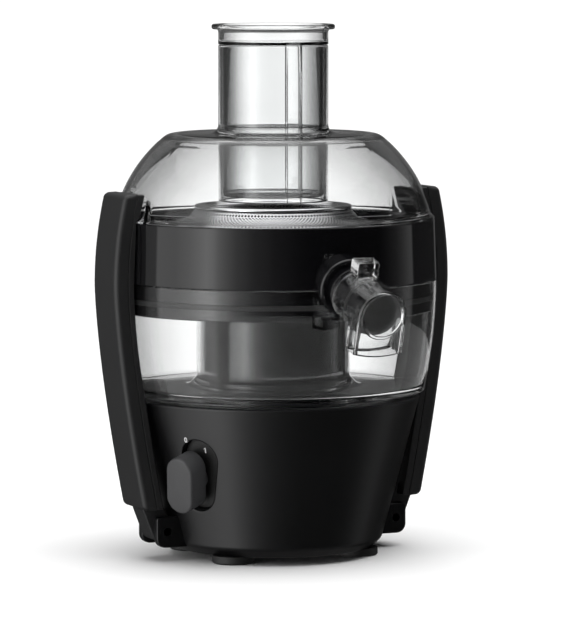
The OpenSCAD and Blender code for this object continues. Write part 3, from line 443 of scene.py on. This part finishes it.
def make_finishes():
    """One finish for each material slot of the record."""
    clear = dict(tone=0.01, bump=0.0, rough_spread=0.02, Transmission_Weight=1.0, IOR=1.34)
    # Facing ramp stops: painted edge shade on the clear parts, partly the plastic's own tint
    smoke_and_edge_shade_stops = ((0.1, 1.0), (0.2, 0.9), (0.3, 0.76), (0.45, 0.6), (0.62, 0.52), (1.0, 0.45))
    return {
        "housing_black": finish("satin_black_housing", (0.0045, 0.0045, 0.005), 0.34, grain=2600, bump=0.12),
        "band_black": finish("polished_black_band", (0.003, 0.003, 0.0035), 0.05, bump=0, rough_spread=0.03),
        "arm_black": finish("matt_black_arm", (0.012, 0.012, 0.0125), 0.5, grain=3000, bump=0.22),
        "clear_smoke": smoke_and_edge_shade(finish("clear_polished_plastic", (0.97, 0.975, 0.975), 0.015, **clear), smoke_and_edge_shade_stops),
        "knob_grey": finish("matt_grey_knob", (0.045, 0.045, 0.047), 0.5, grain=2400, bump=0.15),
        "dial_black": finish("matt_black_dial", (0.006, 0.006, 0.006), 0.5, grain=2400, bump=0.15),
        "mark_white": finish("printed_white", (0.75, 0.75, 0.75), 0.5, bump=0.05),
        "sieve_steel": perforated(finish("perforated_steel", (0.62, 0.62, 0.63), 0.24, metal=1.0)),
        "bright_steel": finish("polished_steel", (0.78, 0.78, 0.79), 0.12, metal=1.0, bump=0.03),
        "zinc_steel": finish("zinc_plated_steel", (0.6, 0.61, 0.63), 0.32, metal=1.0, bump=0.15),
        "motor_iron": ribbed(finish("laminated_iron", (0.2, 0.2, 0.21), 0.45, metal=1.0), 2, 0.001, 0.5, 0.6),
        "copper": ribbed(finish("enamelled_copper", (0.7, 0.34, 0.16), 0.3, metal=1.0), 2, 0.0008, 0.6, 0.7),
        "cast_alloy": finish("die_cast_alloy", (0.6, 0.6, 0.62), 0.4, metal=1.0, grain=700, bump=0.35),
        "carbon": finish("pressed_carbon", (0.03, 0.03, 0.03), 0.6, grain=1500, bump=0.3),
        "black_rubber": finish("black_rubber", (0.014, 0.014, 0.014), 0.62, grain=1800, bump=0.3),
        "clear_rubber": finish("clear_silicone", (0.75, 0.75, 0.76), 0.35, bump=0.05, Transmission_Weight=0.6),
    }


# ---------------------------------------------------------------- base

def dial_wall(u, v):
    """Height of the base's cone over the dial's plane at (u, v), found by stepping along the plane's normal until the
    distance from the drive axis equals the cone's radius."""
    w = np.zeros_like(u)
    for _ in range(25):
        p = put(AT_DIAL, np.stack([u, v, w], -1))
        w = w - (np.hypot(p[..., 0], p[..., 1]) - base_r(p[..., 2])) / 1.034
    return w


def oval(points):
    """Where the rays from the recess's middle through points (u, v) meet its leaning stadium outline, and the
    outline's outward normals there: a straight side where the ray's rise is small, or else a circle about the end's
    centre."""
    c, s = math.cos(math.radians(OVAL_LEAN)), math.sin(math.radians(OVAL_LEAN))
    lean = np.array([[c, -s], [s, c]])
    d = (points - np.array(OVAL_SHIFT)) @ lean.T
    d /= np.linalg.norm(d, axis=1)[:, None]
    r, h = OVAL_W / 2, (OVAL_LEN - OVAL_W) / 2
    side = r / np.maximum(np.abs(d[:, 0]), 1e-9)
    end = h * np.abs(d[:, 1]) + np.sqrt(np.maximum(r ** 2 - (h * d[:, 0]) ** 2, 0))
    p = d * np.where(side * np.abs(d[:, 1]) <= h, side, end)[:, None]
    spine = np.stack([np.zeros(len(p)), np.clip(p[:, 1], -h, h)], -1)
    return p @ lean + np.array(OVAL_SHIFT), ((p - spine) / r) @ lean


def base_shell():
    """The base: a closed outline turned round the axis, with a leaning stadium recess for the dial. Inside a rectangle
    of the wall's grid the quads are left out, and rings run from its border to the recess's outline, round its edge
    and down to its floor. Behind the recess the inner wall is moved inwards."""
    n = 256
    a = np.linspace(0, TAU, n, endpoint=False)
    wall_z = np.linspace(14.0, 96.0, 42)
    low = open_line((60.7, 8.5, 0), (60.7, 5, 0.4), (62.5, 5, 3.4), (68.3, 10.2, 5.5), (base_r(20), 20, 0))
    top = open_line((base_r(97), 97, 0), (TOP_R, DECK_Z, 2.2), (45.55, DECK_Z, 0.4), (45.55, 97, 0))
    inner = np.array([(base_r(96) - 2.6, 97.0), (base_r(94) - 2.6, 94)] +
                     [(base_r(z) - 2.6, z) for z in np.linspace(90, 14, 28)] + [(62.0, 8.5)])
    low = low[low[:, 1] < 13.9]
    profile = np.vstack([low, np.stack([base_r(wall_z), wall_z], -1), top, inner])
    points, _ = turned(profile, a)
    grid = points.reshape(n, len(profile), 3)
    first, last = len(low) + 6, len(low) + 34
    centre = int(round((360 + DIAL_TURN) / 360 * n))
    left, right = centre - 17, centre + 17
    local = (np.linalg.inv(AT_DIAL)[:3, :3] @ (grid - AT_DIAL[:3, 3])[..., None])[..., 0]
    rows = np.arange(len(profile))
    is_inner = rows >= len(profile) - len(inner)
    bulge_r, bulge_in = 34, 6.0
    near = np.clip((bulge_r - np.hypot(local[..., 0], local[..., 1])) / 5, 0, 1) * is_inner[None]
    towards = grid[..., :2] / np.maximum(np.linalg.norm(grid[..., :2], axis=-1, keepdims=True), 1e-9)
    near = near * (grid[..., :2] @ AT_DIAL[:2, 2] > 0)
    grid[..., :2] -= towards * (bulge_in * near * near * (3 - 2 * near))[..., None]
    cols = len(profile)
    i = np.arange(n)[:, None]
    j = np.arange(cols)[None, :]
    keep = ~((i >= left) & (i < right) & (j >= first) & (j < last))
    all_quads = quads(n, cols, True, True).reshape(n, cols, 4)
    border = np.concatenate([grid[left:right, first], grid[right, first:last], grid[right:left:-1, last],
                             grid[left, last:first:-1]])
    flat = put(np.linalg.inv(AT_DIAL), border)[:, :2]
    line, out = oval(flat)
    edge = RECESS_EDGE
    rings = []
    for t in np.linspace(0, 1, 9):
        uv = flat * (1 - t) + (line + out * (edge + 0.4)) * t
        rings.append(np.column_stack([uv, dial_wall(uv[:, 0], uv[:, 1])]))
    for t in np.linspace(0, math.pi / 2, 7):
        uv = line + out * (0.05 + edge * (1 - math.sin(t)))
        rings.append(np.column_stack([uv, dial_wall(uv[:, 0], uv[:, 1]) - edge * (1 - math.cos(t))]))
    foot = rings[-1][:, 2]
    for t in (0.15, 0.6, 1.0):
        rings.append(np.column_stack([line + out * 0.05, foot * (1 - t) + RECESS_FLOOR * t]))
    middle = np.array(OVAL_SHIFT)
    for t in (0.5, 0.0):
        rings.append(np.column_stack([middle + (line - middle) * t, np.full(len(out), RECESS_FLOOR)]))
    rings = np.stack(rings)
    patch = (put(AT_DIAL, rings.reshape(-1, 3)), quads(len(rings), len(out), False, True))
    return merged((grid.reshape(-1, 3), all_quads[keep]), patch)


def cheeks():
    """Two pairs of cheeks for the arm hinges: a rounded outline in radius and height, given thickness along Y."""
    outline = rounded([(65.5, 9, 0), (85.8, 9, 6), (85.8, 28, 1.6), (65.5, 28, 0)], steps=8)
    parts = []
    for side in (1, -1):
        for y in (9.4, -14.9):
            v, f = plate(outline, y, y + 5.5, 0.8, ON_SIDE @ np.diag([1.0, 1.0, -1.0, 1.0]))
            parts.append((v * np.array([side, 1, 1]), f))
    return merged(*parts)


def knob_grip():
    """The knob: a stadium outline risen from the boss, with a rounded edge and a slightly domed top."""
    half, r = (KNOB_LEN - KNOB_W) / 2, KNOB_W / 2
    under, shoulder, top = 0.4, 14.2, 15.5
    under_edge, top_edge = 0.7, 1.3
    t = np.linspace(0, TAU, 96, endpoint=False)
    shape = np.stack([np.cos(t) * r, np.sin(t) * r + np.sign(np.sin(t)) * half], -1)
    straight = np.linspace(-half, half, 9)[1:-1]
    right = np.stack([np.full(7, r), straight], -1)
    left = np.stack([np.full(7, -r), straight[::-1]], -1)
    shape = np.concatenate([right[3:], shape[1:48], left, shape[49:], right[:4]])
    spine = np.stack([np.zeros(len(shape)), np.clip(shape[:, 1], -half, half)], -1)
    out = (shape - spine) / r

    def ring(flat, height):
        return np.column_stack([flat, np.full(len(out), height)])

    rings = [ring(out * 7.0 + spine * 0.4, under + 0.1)]
    for t in np.linspace(0, math.pi / 2, 4):
        rings.append(ring(spine + out * (r - under_edge * (1 - math.sin(t))), under + under_edge * (1 - math.cos(t))))
    rings.append(ring(spine + out * r, 6.0))
    for t in np.linspace(0, math.pi / 2, 9):
        rings.append(ring(spine + out * (r - top_edge + top_edge * math.cos(t)), shoulder + top_edge * math.sin(t)))
    for s in (0.75, 0.5, 0.25, 0.0):
        rings.append(ring(spine * (0.4 + 0.6 * s) + out * (r - top_edge) * s, top + 0.5 * (1 - s * s)))
    v, f = lofted(np.stack(rings))
    boss = lathe(open_line((0, -3.8, 0), (8, -3.8, 0.4), (8, 1.0, 0), (0, 1.0, 0)), 64)
    v, f = merged((v, f), boss)
    return put(AT_DIAL @ turn("z", -KNOB_LEAN), v), f


def dial_disc():
    """The recess's floor plate: the recess's outline given thickness, with a rounded edge."""
    t = np.linspace(0, TAU, 160, endpoint=False)
    line, out = oval(np.stack([np.cos(t), np.sin(t)], -1) + np.array(OVAL_SHIFT))
    return plate(line - out * 0.05, -6.4, -4.6, 0.35, AT_DIAL)


# ---------------------------------------------------------------- stack

def tower():
    """The motor tower: a cap with rounded shoulders, turned."""
    return turned(rounded([
        (43, 95.6, 0.3), (49.8, 95.6, 0.3), (49.8, 97.4, 0.3), (TOWER_R, 97.4, 0), (TOWER_R, TOWER_Z, 2.4),
        (16, TOWER_Z, 0.8), (14, 156.8, 0.8), (8.1, 156.8, 0.4), (8.1, 155.2, 0.2), (43, 155.2, 1)]), 200)


def container():
    """The pulp container: two parabola walls, a floor with a fillet up to the hollow column over the tower, and a
    foot ring, turned."""
    z = np.linspace(105.5, 172.4, 30)
    outer = np.stack([container_r(z), z], -1)
    inner = np.stack([container_r(z[4:]) - 2.2, z[4:]], -1)[::-1]
    rim = open_line(corner(outer[-1]), (BOWL_R, 173.1, 0.7), (BOWL_R - 2.2, 173.1, 0.7), corner(inner[0]))
    floor = open_line(
        corner(inner[-1]), (92.7, 105.6, 4.5), (54.0, 105.6, 6), (COLUMN_R, 112, 7), (COLUMN_R, 130, 0),
        (COLUMN_R, COLUMN_Z, 0.9), (COLUMN_IN, COLUMN_Z, 0.9), (COLUMN_IN, CONTAINER_Z, 0.6),
        (82.0, CONTAINER_Z, 0.4), (82.0, 100.3, 0.5), (84.8, 100.3, 0.5), (84.8, CONTAINER_Z, 0.4),
        (95.0, CONTAINER_Z, 2.2), corner(outer[0]), steps=8)
    return turned(np.vstack([outer[:-1], rim, inner[1:-1], floor[:-1]]), 256)


def collector():
    """The juice collector: band, skirt, trough and its inner wall as one closed outline, turned."""
    return turned(rounded([
        (96.5, 154, 0.8), (99, 154, 0.8), (99, 160.9, 0.2), (97.8, 160.9, 0.2), (97.8, 164.1, 0.2),
        (99, 164.1, 0.2), (99, BAND_Z, 0.3), (BOWL_R, BAND_Z, 0.7), (102.4, 176, 0), (BAND_TOP_R, LID_Z, 0.8),
        (98.7, LID_Z, 0.8), (100, 176.5, 1.5), (96.5, 167.5, 1.5), (84.5, 167.5, 3), (84.5, 186, 0.9),
        (82.5, 186, 0.9), (82.5, 165, 1), (96.5, 165, 0.8)], steps=7), 288)


def clear_of_container(v):
    """Points under the band are pushed forward onto the container's cylinder, so that nothing reaches into it."""
    clear_r = BOWL_R + 0.4
    inside = (v[:, 2] < BAND_Z - 0.2) & (np.hypot(v[:, 0], v[:, 1]) < clear_r) & (v[:, 1] < 0)
    v = v.copy()
    v[inside, 1] = -np.sqrt(clear_r ** 2 - v[inside, 0] ** 2)
    return v


def spout_collar():
    """The collar round the spout's root: a rounded outline turned round the spout's axis."""
    outline = rounded([(13.95, -5, 0), (18, -5, 0), (18, 7, 2.6), (13.95, 7, 0.3)], steps=8)
    v, f = turned(outline, 128, AT_SPOUT)
    return clear_of_container(v), f


def spout_pipe():
    """The spout tube with its step ring and the groove for its seal, turned round the spout's axis."""
    v, f = turned(rounded([
        (SPOUT_IN, -2.5, 0), (SPOUT_R, -2.5, 0), (SPOUT_R, 13, 0.4), (15.1, 13, 0.5), (15.1, 15, 0.5),
        (SPOUT_R, 15, 0.4), (SPOUT_R, 34, 0.2), (12.9, 34, 0.2), (12.9, 37, 0.2), (SPOUT_R, 37, 0.2),
        (SPOUT_R, SPOUT_LEN, 0.9), (SPOUT_IN, SPOUT_LEN, 0.9)]), 96, AT_SPOUT)
    return clear_of_container(v), f


def tombstone(half, low, count=40):
    """A half circle of radius half over a straight-sided foot that ends in a shallow arc at height low."""
    t = np.linspace(0, math.pi, count)
    top = np.stack([np.cos(t) * half, np.sin(t) * half], -1)
    x = np.linspace(-half, half, 15)
    foot = np.stack([x, low - 2.2 * (1 - (x / half) ** 2)], -1)
    down = np.linspace(0, low, 7)[1:-1]
    left = np.stack([np.full(5, -half), down], -1)
    right = np.stack([np.full(5, half), down[::-1]], -1)
    return np.concatenate([top, left, foot, right])


def cut(target, tool_part, kind):
    """Joins or cuts a target mesh with a closed solid, as exact solids."""
    data, bm = welded("tool", tool_part)
    bmesh.ops.recalc_face_normals(bm, faces=bm.faces)
    bm.to_mesh(data)
    bm.free()
    tool = bpy.data.objects.new("tool", data)
    bpy.context.scene.collection.objects.link(tool)
    boolean = target.modifiers.new("solid", "BOOLEAN")
    boolean.operation, boolean.object, boolean.solver = kind, tool, "EXACT"
    bpy.context.view_layer.update()
    made = bpy.data.meshes.new_from_object(target.evaluated_get(bpy.context.evaluated_depsgraph_get()))
    target.modifiers.clear()
    target.data = made
    bpy.data.objects.remove(tool)


def make_nozzle(finishes):
    """The twist nozzle: a sleeve and a hood as closed solids joined, their insides cut away, with a raised ring on
    the front and a ribbed thumb tab."""
    sleeve = lathe(open_line((0, 18, 0), (HOOD_R, 18, 0.8), (HOOD_R, 50, 0), (0, 50, 0)), 96, AT_SPOUT)
    nozzle = piece("twist_nozzle", sleeve, finishes["clear_smoke"], "nozzle", "clear_smoke", "spout_nozzle")
    cut(nozzle, plate(tombstone(HOOD_R, -23.6), 43, 57.2, 1.6, AT_SPOUT, 5), "UNION")
    front_ring = rounded([(11.8, 56, 0), (HOOD_IN, 56, 0), (HOOD_IN, 58, 0.9), (11.8, 58, 0.9)])
    cut(nozzle, turned(front_ring, 96, AT_SPOUT), "UNION")
    upright = AT_SPOUT @ np.array([[1, 0, 0, 0], [0, 0, 1, 0], [0, 1, 0, 0], [0, 0, 0, 1.0]])

    def tab_outline(half, low, high, radius, steps):
        return rounded([(-half, low, radius), (half, low, radius), (half, high, radius), (-half, high, radius)],
                       steps=steps)

    cut(nozzle, plate(tab_outline(7, 20, 31, 1, 4), 14.8, 24.6, 0.9, upright), "UNION")
    for k in range(3):
        cut(nozzle, plate(tab_outline(6.4, 21.8 + 3 * k, 23.4 + 3 * k, 0.5, 3), 24.0, 25.0, 0.3, upright, 2), "UNION")
    bore = np.array([(0, 17), (HOOD_IN, 17), (HOOD_IN, 54), (12.5, 55.4), (0, 55.4)], float)
    cut(nozzle, lathe(bore, 96, AT_SPOUT), "DIFFERENCE")
    cut(nozzle, plate(tombstone(HOOD_IN, -30), 44.8, 55.4, 0.9, AT_SPOUT, 3), "DIFFERENCE")
    for face in nozzle.data.polygons:
        face.use_smooth = True
    nozzle.data.set_sharp_from_angle(angle=math.radians(32))
    return nozzle


def key_angles(edges_mm, count=236):
    """Angles round the axis with extra ones close to given angles, so that ribs and pockets get crisp sides."""
    a = np.linspace(0, TAU, count, endpoint=False)
    extra = np.concatenate([[e - 0.006, e, e + 0.006] for e in edges_mm]) % TAU
    return np.unique(np.round(np.concatenate([a, extra]), 6))


def from_front(a):
    """How far each angle is from the front, as a column."""
    return np.abs((a + math.pi) % TAU - math.pi)[:, None]


def lid():
    """The lid: dome, rim, lip and feed tube as one closed outline with a wide fillet at the tube's foot, turned. Within
    the key's width the tube's inside is moved in; behind the arms the rim's |x| is held to a flat."""
    t = np.radians(np.linspace(1, 88, 26))
    dome_low, dome_rise = 214.0, 44.5
    zo = dome_low + dome_rise * np.sin(t)
    zi = zo - 2.0 - 0.3 * np.sin(t)
    outer = np.stack([dome_r(zo), zo], -1)
    inner = np.stack([dome_r(zi, LID_WALL), zi], -1)[::-1]
    foot = open_line((98.3, LID_Z, 0), (BAND_TOP_R, LID_Z, 0.6), (BAND_TOP_R, 212.4, 0.3), corner(outer[0]), steps=4)
    under = DOME_Z - 2.6
    shoulder = open_line(
        corner(outer[-1]), (dome_r(DOME_Z), DOME_Z, 34), (TUBE_R, DOME_Z, 7), (TUBE_R, 275, 0), (TUBE_R, TUBE_Z, 1.0),
        (TUBE_IN, TUBE_Z, 1.0), (TUBE_IN, 300, 0), (TUBE_IN, 262, 0), (TUBE_IN, 240, 0), (TUBE_IN, TUBE_LOW, 1.0),
        (TUBE_R, TUBE_LOW, 1.0), (TUBE_R, 240, 0), (TUBE_R, under, 5), (dome_r(261.5, LID_WALL), 261.5, 31),
        corner(inner[0]), steps=9)
    lip = open_line(corner(inner[-1]), (96.0, 210.5, 0.5), (96.0, 205, 0.9), (98.3, 205, 0.9), (98.3, LID_Z, 0))
    profile = np.vstack([foot[:-1], outer[:-1], shoulder, inner[1:-1], lip[:-1]])
    key = math.asin(KEY_HALF / TUBE_IN)
    pocket = math.asin(POCKET_HALF / 100.0)
    side = math.pi / 2
    a = key_angles([key, -key, side - pocket, side + pocket, -side - pocket, -side + pocket])
    v, f = turned(profile, a)
    grid = v.reshape(len(a), len(profile), 3)
    r = np.hypot(grid[..., 0], grid[..., 1])
    in_key = (from_front(a) < key) & (r < 32.9) & (grid[..., 2] < 316)
    scale = np.where(in_key, (r - KEY_DEEP) / np.maximum(r, 1e-6), 1.0)
    grid[..., :2] *= scale[..., None]
    inside = np.zeros(len(profile), bool)
    inside[len(foot) - 1 + len(outer) - 1 + len(shoulder):] = True
    hold = np.where(inside, POCKET_X - LID_WALL, POCKET_X)[None]
    wide = np.where(inside, POCKET_HALF + LID_WALL, POCKET_HALF)[None]
    in_pocket = np.abs(grid[..., 1]) < wide
    grid[..., 0] = np.where(in_pocket, np.clip(grid[..., 0], -hold, hold), grid[..., 0])
    return grid.reshape(-1, 3), f


def pusher():
    """The pusher: a hollow cup with a collar and a flange, turned; within the groove's width its front wall is moved
    in."""
    out_r, in_r = 31.6, 29.5
    profile = np.vstack([
        open_line((0, 224.5, 0), (out_r, 224.5, 2.2), (out_r, 240, 0), steps=8),
        np.array([(out_r, z) for z in (260, 280, 300)], float),
        open_line((out_r, 310, 0), (out_r, 319.3, 0.4), (TUBE_R, 319.3, 0.6), (TUBE_R, 328.8, 1.6), (38.5, 328.8, 1.2),
                  (38.5, 332, 1.4), (33.6, 332, 1.6), (32.3, 329, 1.5), (32.3, 321.4, 1.2), (in_r, 319.5, 1.4),
                  (in_r, 305, 0), steps=7),
        np.array([(in_r, z) for z in (290, 270, 250)], float),
        open_line((in_r, 240, 0), (in_r, 226.6, 1.8), (0, 226.6, 0), steps=8)])
    key = math.asin(5.0 / 31.0)
    a = key_angles([key, -key], 180)
    v, f = lathe(profile, a)
    grid = v.reshape(len(a), len(profile), 3)
    r, z = np.hypot(grid[..., 0], grid[..., 1]), grid[..., 2]
    groove = (from_front(a) < key) & (r > 29) & (r < 32) & (z < 319.35)
    grid[..., :2] *= np.where(groove, (r - 3.2) / np.maximum(r, 1e-6), 1.0)[..., None]
    return grid.reshape(-1, 3), f


def sieve():
    """The sieve's wall: a straight cone of thin sheet with a hem at its foot, turned."""
    return turned(rounded([(78.1, SIEVE_LOW, 0.2), (78.95, SIEVE_LOW, 0.2), (78.95, 176.9, 0.2), (48.5, SIEVE_TOP, 0.1),
                           (47.6, SIEVE_TOP, 0.1)]), 256)


def sieve_ring():
    """The sieve's rolled rim with a flat flange inside it, turned."""
    return turned(rounded([
        (37.2, SIEVE_TOP, 0.3), (45.2, SIEVE_TOP, 0.3), (46.6, 216.4, 0.6), (49.5, 216.3, 1.4), (49.5, 219.4, 1.5),
        (46.4, 219.4, 1.4), (45.0, 217.8, 0.8), (37.2, 217.8, 0.3)], steps=7), 200)


# ---------------------------------------------------------------- arms

# Height and radius of everything the arms stay clear of
STACK = np.array([(5, 62.5), (FOOT_Z, FOOT_R), (DECK_Z, TOP_R), (CONTAINER_Z, 95)]
                 + [(z, float(container_r(z))) for z in range(105, 174, 4)]
                 + [(BAND_Z, BOWL_R), (LID_Z, BAND_TOP_R), (212.5, BAND_TOP_R)]
                 + [(z, float(dome_r(float(z)))) for z in range(214, 236, 2)], float)


def arm_section(depth_out, depth_in, half, out_round, in_round, tight):
    """Points (depth, y) of a rounded rectangle, one row for each share in tight: the corners' arcs shrink to their
    centres as the share goes to nothing."""
    sides = (9, 5, 27, 5)
    centres = [(depth_out + out_round, half - out_round, out_round, 90.0),
               (depth_in - in_round, half - in_round, in_round, 0.0),
               (depth_in - in_round, -half + in_round, in_round, -90.0),
               (depth_out + out_round, -half + out_round, out_round, -180.0)]
    arcs = []
    for d, y, r, start in centres:
        t = np.radians(start + 90 - np.linspace(0, 90, 8))
        arcs.append(np.stack([d + r * tight[:, None] * np.cos(t), y + r * tight[:, None] * np.sin(t)], -1))
    out = []
    for k, arc in enumerate(arcs):
        out.append(arc)
        nxt = arcs[(k + 1) % 4]
        s = np.linspace(0, 1, sides[(k + 1) % 4] + 2)[1:-1]
        s = np.concatenate([[0.03], s, [0.97]])[None, :, None]
        out.append(arc[:, -1:] * (1 - s) + nxt[:, :1] * s)
    return np.concatenate(out, 1)


def arm_bar(side, depth_out, depth_in, half, out_round, in_round, low, high):
    """A rounded rectangle carried up the arm's curve, its ends rounded; its inner side is held clear of the stack."""
    t = np.linspace(0, math.pi / 2, 8)
    e = out_round
    z = np.concatenate([low + e * (1 - np.cos(t)), np.linspace(low + e, high - e, 74)[1:-1],
                        high - e * (1 - np.cos(t[::-1]))])
    tight = np.concatenate([np.sin(t), np.ones(72), np.sin(t[::-1])])
    section = arm_section(depth_out, depth_in, half, out_round, in_round, tight)
    depth, y = section[..., 0], section[..., 1]
    x = arm_r(z)[:, None] - depth
    stack = np.interp(z, STACK[:, 0], STACK[:, 1])[:, None] + 0.8
    x = np.maximum(x, np.sqrt(np.clip(stack ** 2 - y ** 2, 0, None)))
    rings = np.stack([side * x, y, np.broadcast_to(z[:, None], x.shape)], -1)
    return lofted(rings)


def arm_tongue(side):
    """The hinge tongue: a rounded outline in radius and height, given thickness along Y."""
    outline = rounded([(75.0, 12.3, 5.5), (84.8, 12.6, 5.5), (92.6, 32.6, 1.0), (87.0, 40.5, 0.5), (82.6, 41.0, 0.8),
                       (72.6, 22.5, 4.5)])
    v, f = plate(outline, -8.9, 8.9, 0.8, ON_SIDE)
    return v * np.array([side, 1, 1]), f


# ---------------------------------------------------------------- studio

# Where a face of the band mirrors to, in degrees round the axis from the front, and how bright the wall is there
GLOW = np.array([
    (-150, .05), (-140, .2), (-132, .33), (-119, .45), (-115, .5), (-113.6, 1.4), (-97, 1.5), (-86, 1.97), (-77, 2.6),
    (-72, 3.0), (-67, 2.66), (-63, 1.92), (-58, 1.4), (-54, 1.06), (-50, .76), (-45, .59), (-41, .43), (-37, .31),
    (-28, .2), (-24, .13), (-15, .08), (-7, .03), (2, .01), (55, .01), (60, .04), (66, .09), (72, .15), (78, .27),
    (86, .45), (90, .5), (92, .05), (118, .03), (130, .02)])
WALL_R, CARD_HALF, CARD_Z = 0.95, 1.7, 1.35


def glowing(name, points, faces, level, mat):
    """A mesh that carries its glow's strength in a point attribute."""
    data = bpy.data.meshes.new(name)
    data.from_pydata(points.reshape(-1, 3).tolist(), [], faces.tolist())
    glow = data.attributes.new("glow", "FLOAT", "POINT")
    glow.data.foreach_set("value", level.astype(np.float32).ravel())
    data.materials.append(mat)
    obj = bpy.data.objects.new(name, data)
    obj.visible_camera = obj.visible_shadow = False
    return obj


def glow_finish():
    """An emission whose strength is read from the mesh's glow attribute."""
    mat = bpy.data.materials.new("glow_wall")
    mat.use_nodes = True
    node, link = mat.node_tree.nodes, mat.node_tree.links
    node.clear()
    read = node.new("ShaderNodeAttribute")
    read.attribute_name = "glow"
    light = node.new("ShaderNodeEmission")
    out = node.new("ShaderNodeOutputMaterial")
    link.new(read.outputs["Fac"], light.inputs["Strength"])
    link.new(light.outputs[0], out.inputs["Surface"])
    return mat


def studio():
    """A pale floor, a broad light and a soft card overhead, and a curved wall whose glow changes with direction: strong
    at the left, dark in front, faint at the right."""
    scene = bpy.context.scene
    heading = math.atan2(-CAMERA_SPOT[0], -CAMERA_SPOT[1])
    along = np.array([math.sin(heading), math.cos(heading)])
    across = np.array([along[1], -along[0]])
    outline = [(-2.2, -1.7), (-2.2, 1.7), (32, 3.6), (32, -3.6)]
    data = bpy.data.meshes.new("floor")
    data.from_pydata([tuple(along * p + across * q) + (0.0,) for p, q in outline], [], [(0, 1, 2, 3)])
    floor = bpy.data.objects.new("floor", data)
    data.materials.append(finish("pale_floor", (0.88, 0.88, 0.88), 0.9, tone=0.004, bump=0.0))
    floor.visible_glossy = False
    a = np.radians(np.arange(-150, 131, 1.0))
    view = math.degrees(heading)
    bounce = np.radians(GLOW[:, 0] + view)
    near = np.degrees(bounce - np.arcsin(BOWL_R * MM * np.sin(bounce / 2) / WALL_R)) - view
    level = np.interp(np.degrees(a), near, GLOW[:, 1])
    z = np.array([-0.8, -0.5, -0.2, 0.1, 0.4, 0.7, 1.0])
    fade = np.array([0.5, 0.75, 1.0, 1.0, 1.0, 0.8, 0.3])
    x, y, up = np.broadcast_arrays(WALL_R * np.sin(a)[:, None], -WALL_R * np.cos(a)[:, None], z)
    mat = glow_finish()
    wall = glowing("glow_wall", np.stack([x, y, up], -1), quads(len(a), len(z)), level[:, None] * fade, mat)
    n = 25
    x, y = np.meshgrid(np.linspace(-1.0, 1.0, n), np.linspace(-1.0, 1.0, n), indexing="ij")
    soft = np.clip(1 - x * x, 0, None) ** 1.5 * np.clip(1 - y * y, 0, None) ** 1.5
    grid = np.stack([CARD_HALF * x, CARD_HALF * y, np.full_like(x, CARD_Z)], -1)
    card = glowing("overhead_card", grid, quads(n, n), (2.1 - 0.5 * x) * soft, mat)
    card.visible_diffuse = False
    for o in (floor, wall, card):
        scene.collection.objects.link(o)
    sun = bpy.data.lights.new("overhead_light", "SUN")
    sun.energy, sun.angle = 3.9, 1.15
    lamp = bpy.data.objects.new("overhead_light", sun)
    lamp.visible_glossy = lamp.visible_transmission = False
    lamp.rotation_euler = (0.06, 0.12, 0.0)
    scene.collection.objects.link(lamp)
    world = bpy.data.worlds.new("dim_studio")
    world.use_nodes = True
    world.node_tree.nodes["Background"].inputs["Color"].default_value = (0.11, 0.11, 0.11, 1)
    scene.world = world
    scene.view_settings.view_transform = "Standard"
    cycles = scene.cycles
    cycles.max_bounces, cycles.transmission_bounces, cycles.transparent_max_bounces = 28, 28, 16
    cycles.glossy_bounces = 8


# ---------------------------------------------------------------- assembly

def build():
    """Makes every new piece and gives every CAD node that stays shown its finish."""
    fin = make_finishes()

    def add(name, part, slot, body, node):
        return piece(name, part, fin[slot], body, slot, node)

    add("base_shell", merged(base_shell(), cheeks()), "housing_black", "base", "base_housing")
    add("dial_disc", dial_disc(), "dial_black", "base", "dial_plate")
    add("knob_grip", knob_grip(), "knob_grey", "control_knob", "knob")
    add("tower", tower(), "band_black", "base", "motor_tower")
    clear = [add("container", container(), "clear_smoke", "base", "pulp_container")]
    add("collector", merged(collector(), spout_collar()), "band_black", "base", "juice_collector")
    add("spout_pipe", spout_pipe(), "band_black", "base", "spout_tube")
    clear.append(make_nozzle(fin))
    clear.append(add("lid", lid(), "clear_smoke", "lid", "feed_lid"))
    clear.append(add("pusher_cup", pusher(), "clear_smoke", "food_pusher", "pusher"))
    for obj in clear:
        obj.visible_shadow = False
    add("sieve_wall", sieve(), "sieve_steel", "spindle", "sieve_cone")
    add("sieve_ring", sieve_ring(), "bright_steel", "spindle", "sieve_rim")
    for name, side in (("left", -1), ("right", 1)):
        body = name + "_arm"
        cover = arm_bar(side, 0, 9, 18, 3.2, 0.7, ARM_LOW, ARM_HIGH)
        add(body + "_cover", cover, "arm_black", body, body + "_shell")
        inner = arm_bar(side, 8.9, 13.5, 17.7, 0.8, 1.2, ARM_LOW + 0.4, ARM_HIGH - 0.4)
        add(body + "_inner", merged(inner, arm_tongue(side)), "arm_black", body, body + "_liner")
    slots = {part["node"]: part["material_slot"] for part in frame["record"]["subparts"]}
    for node, obj in frame["nodes"].items():
        if obj.hide_render:
            continue
        obj.data.materials.clear()
        obj.data.materials.append(fin[slots[node]])
    frame["nodes"]["lid_seal"].visible_shadow = False


place_camera()
studio()
build()
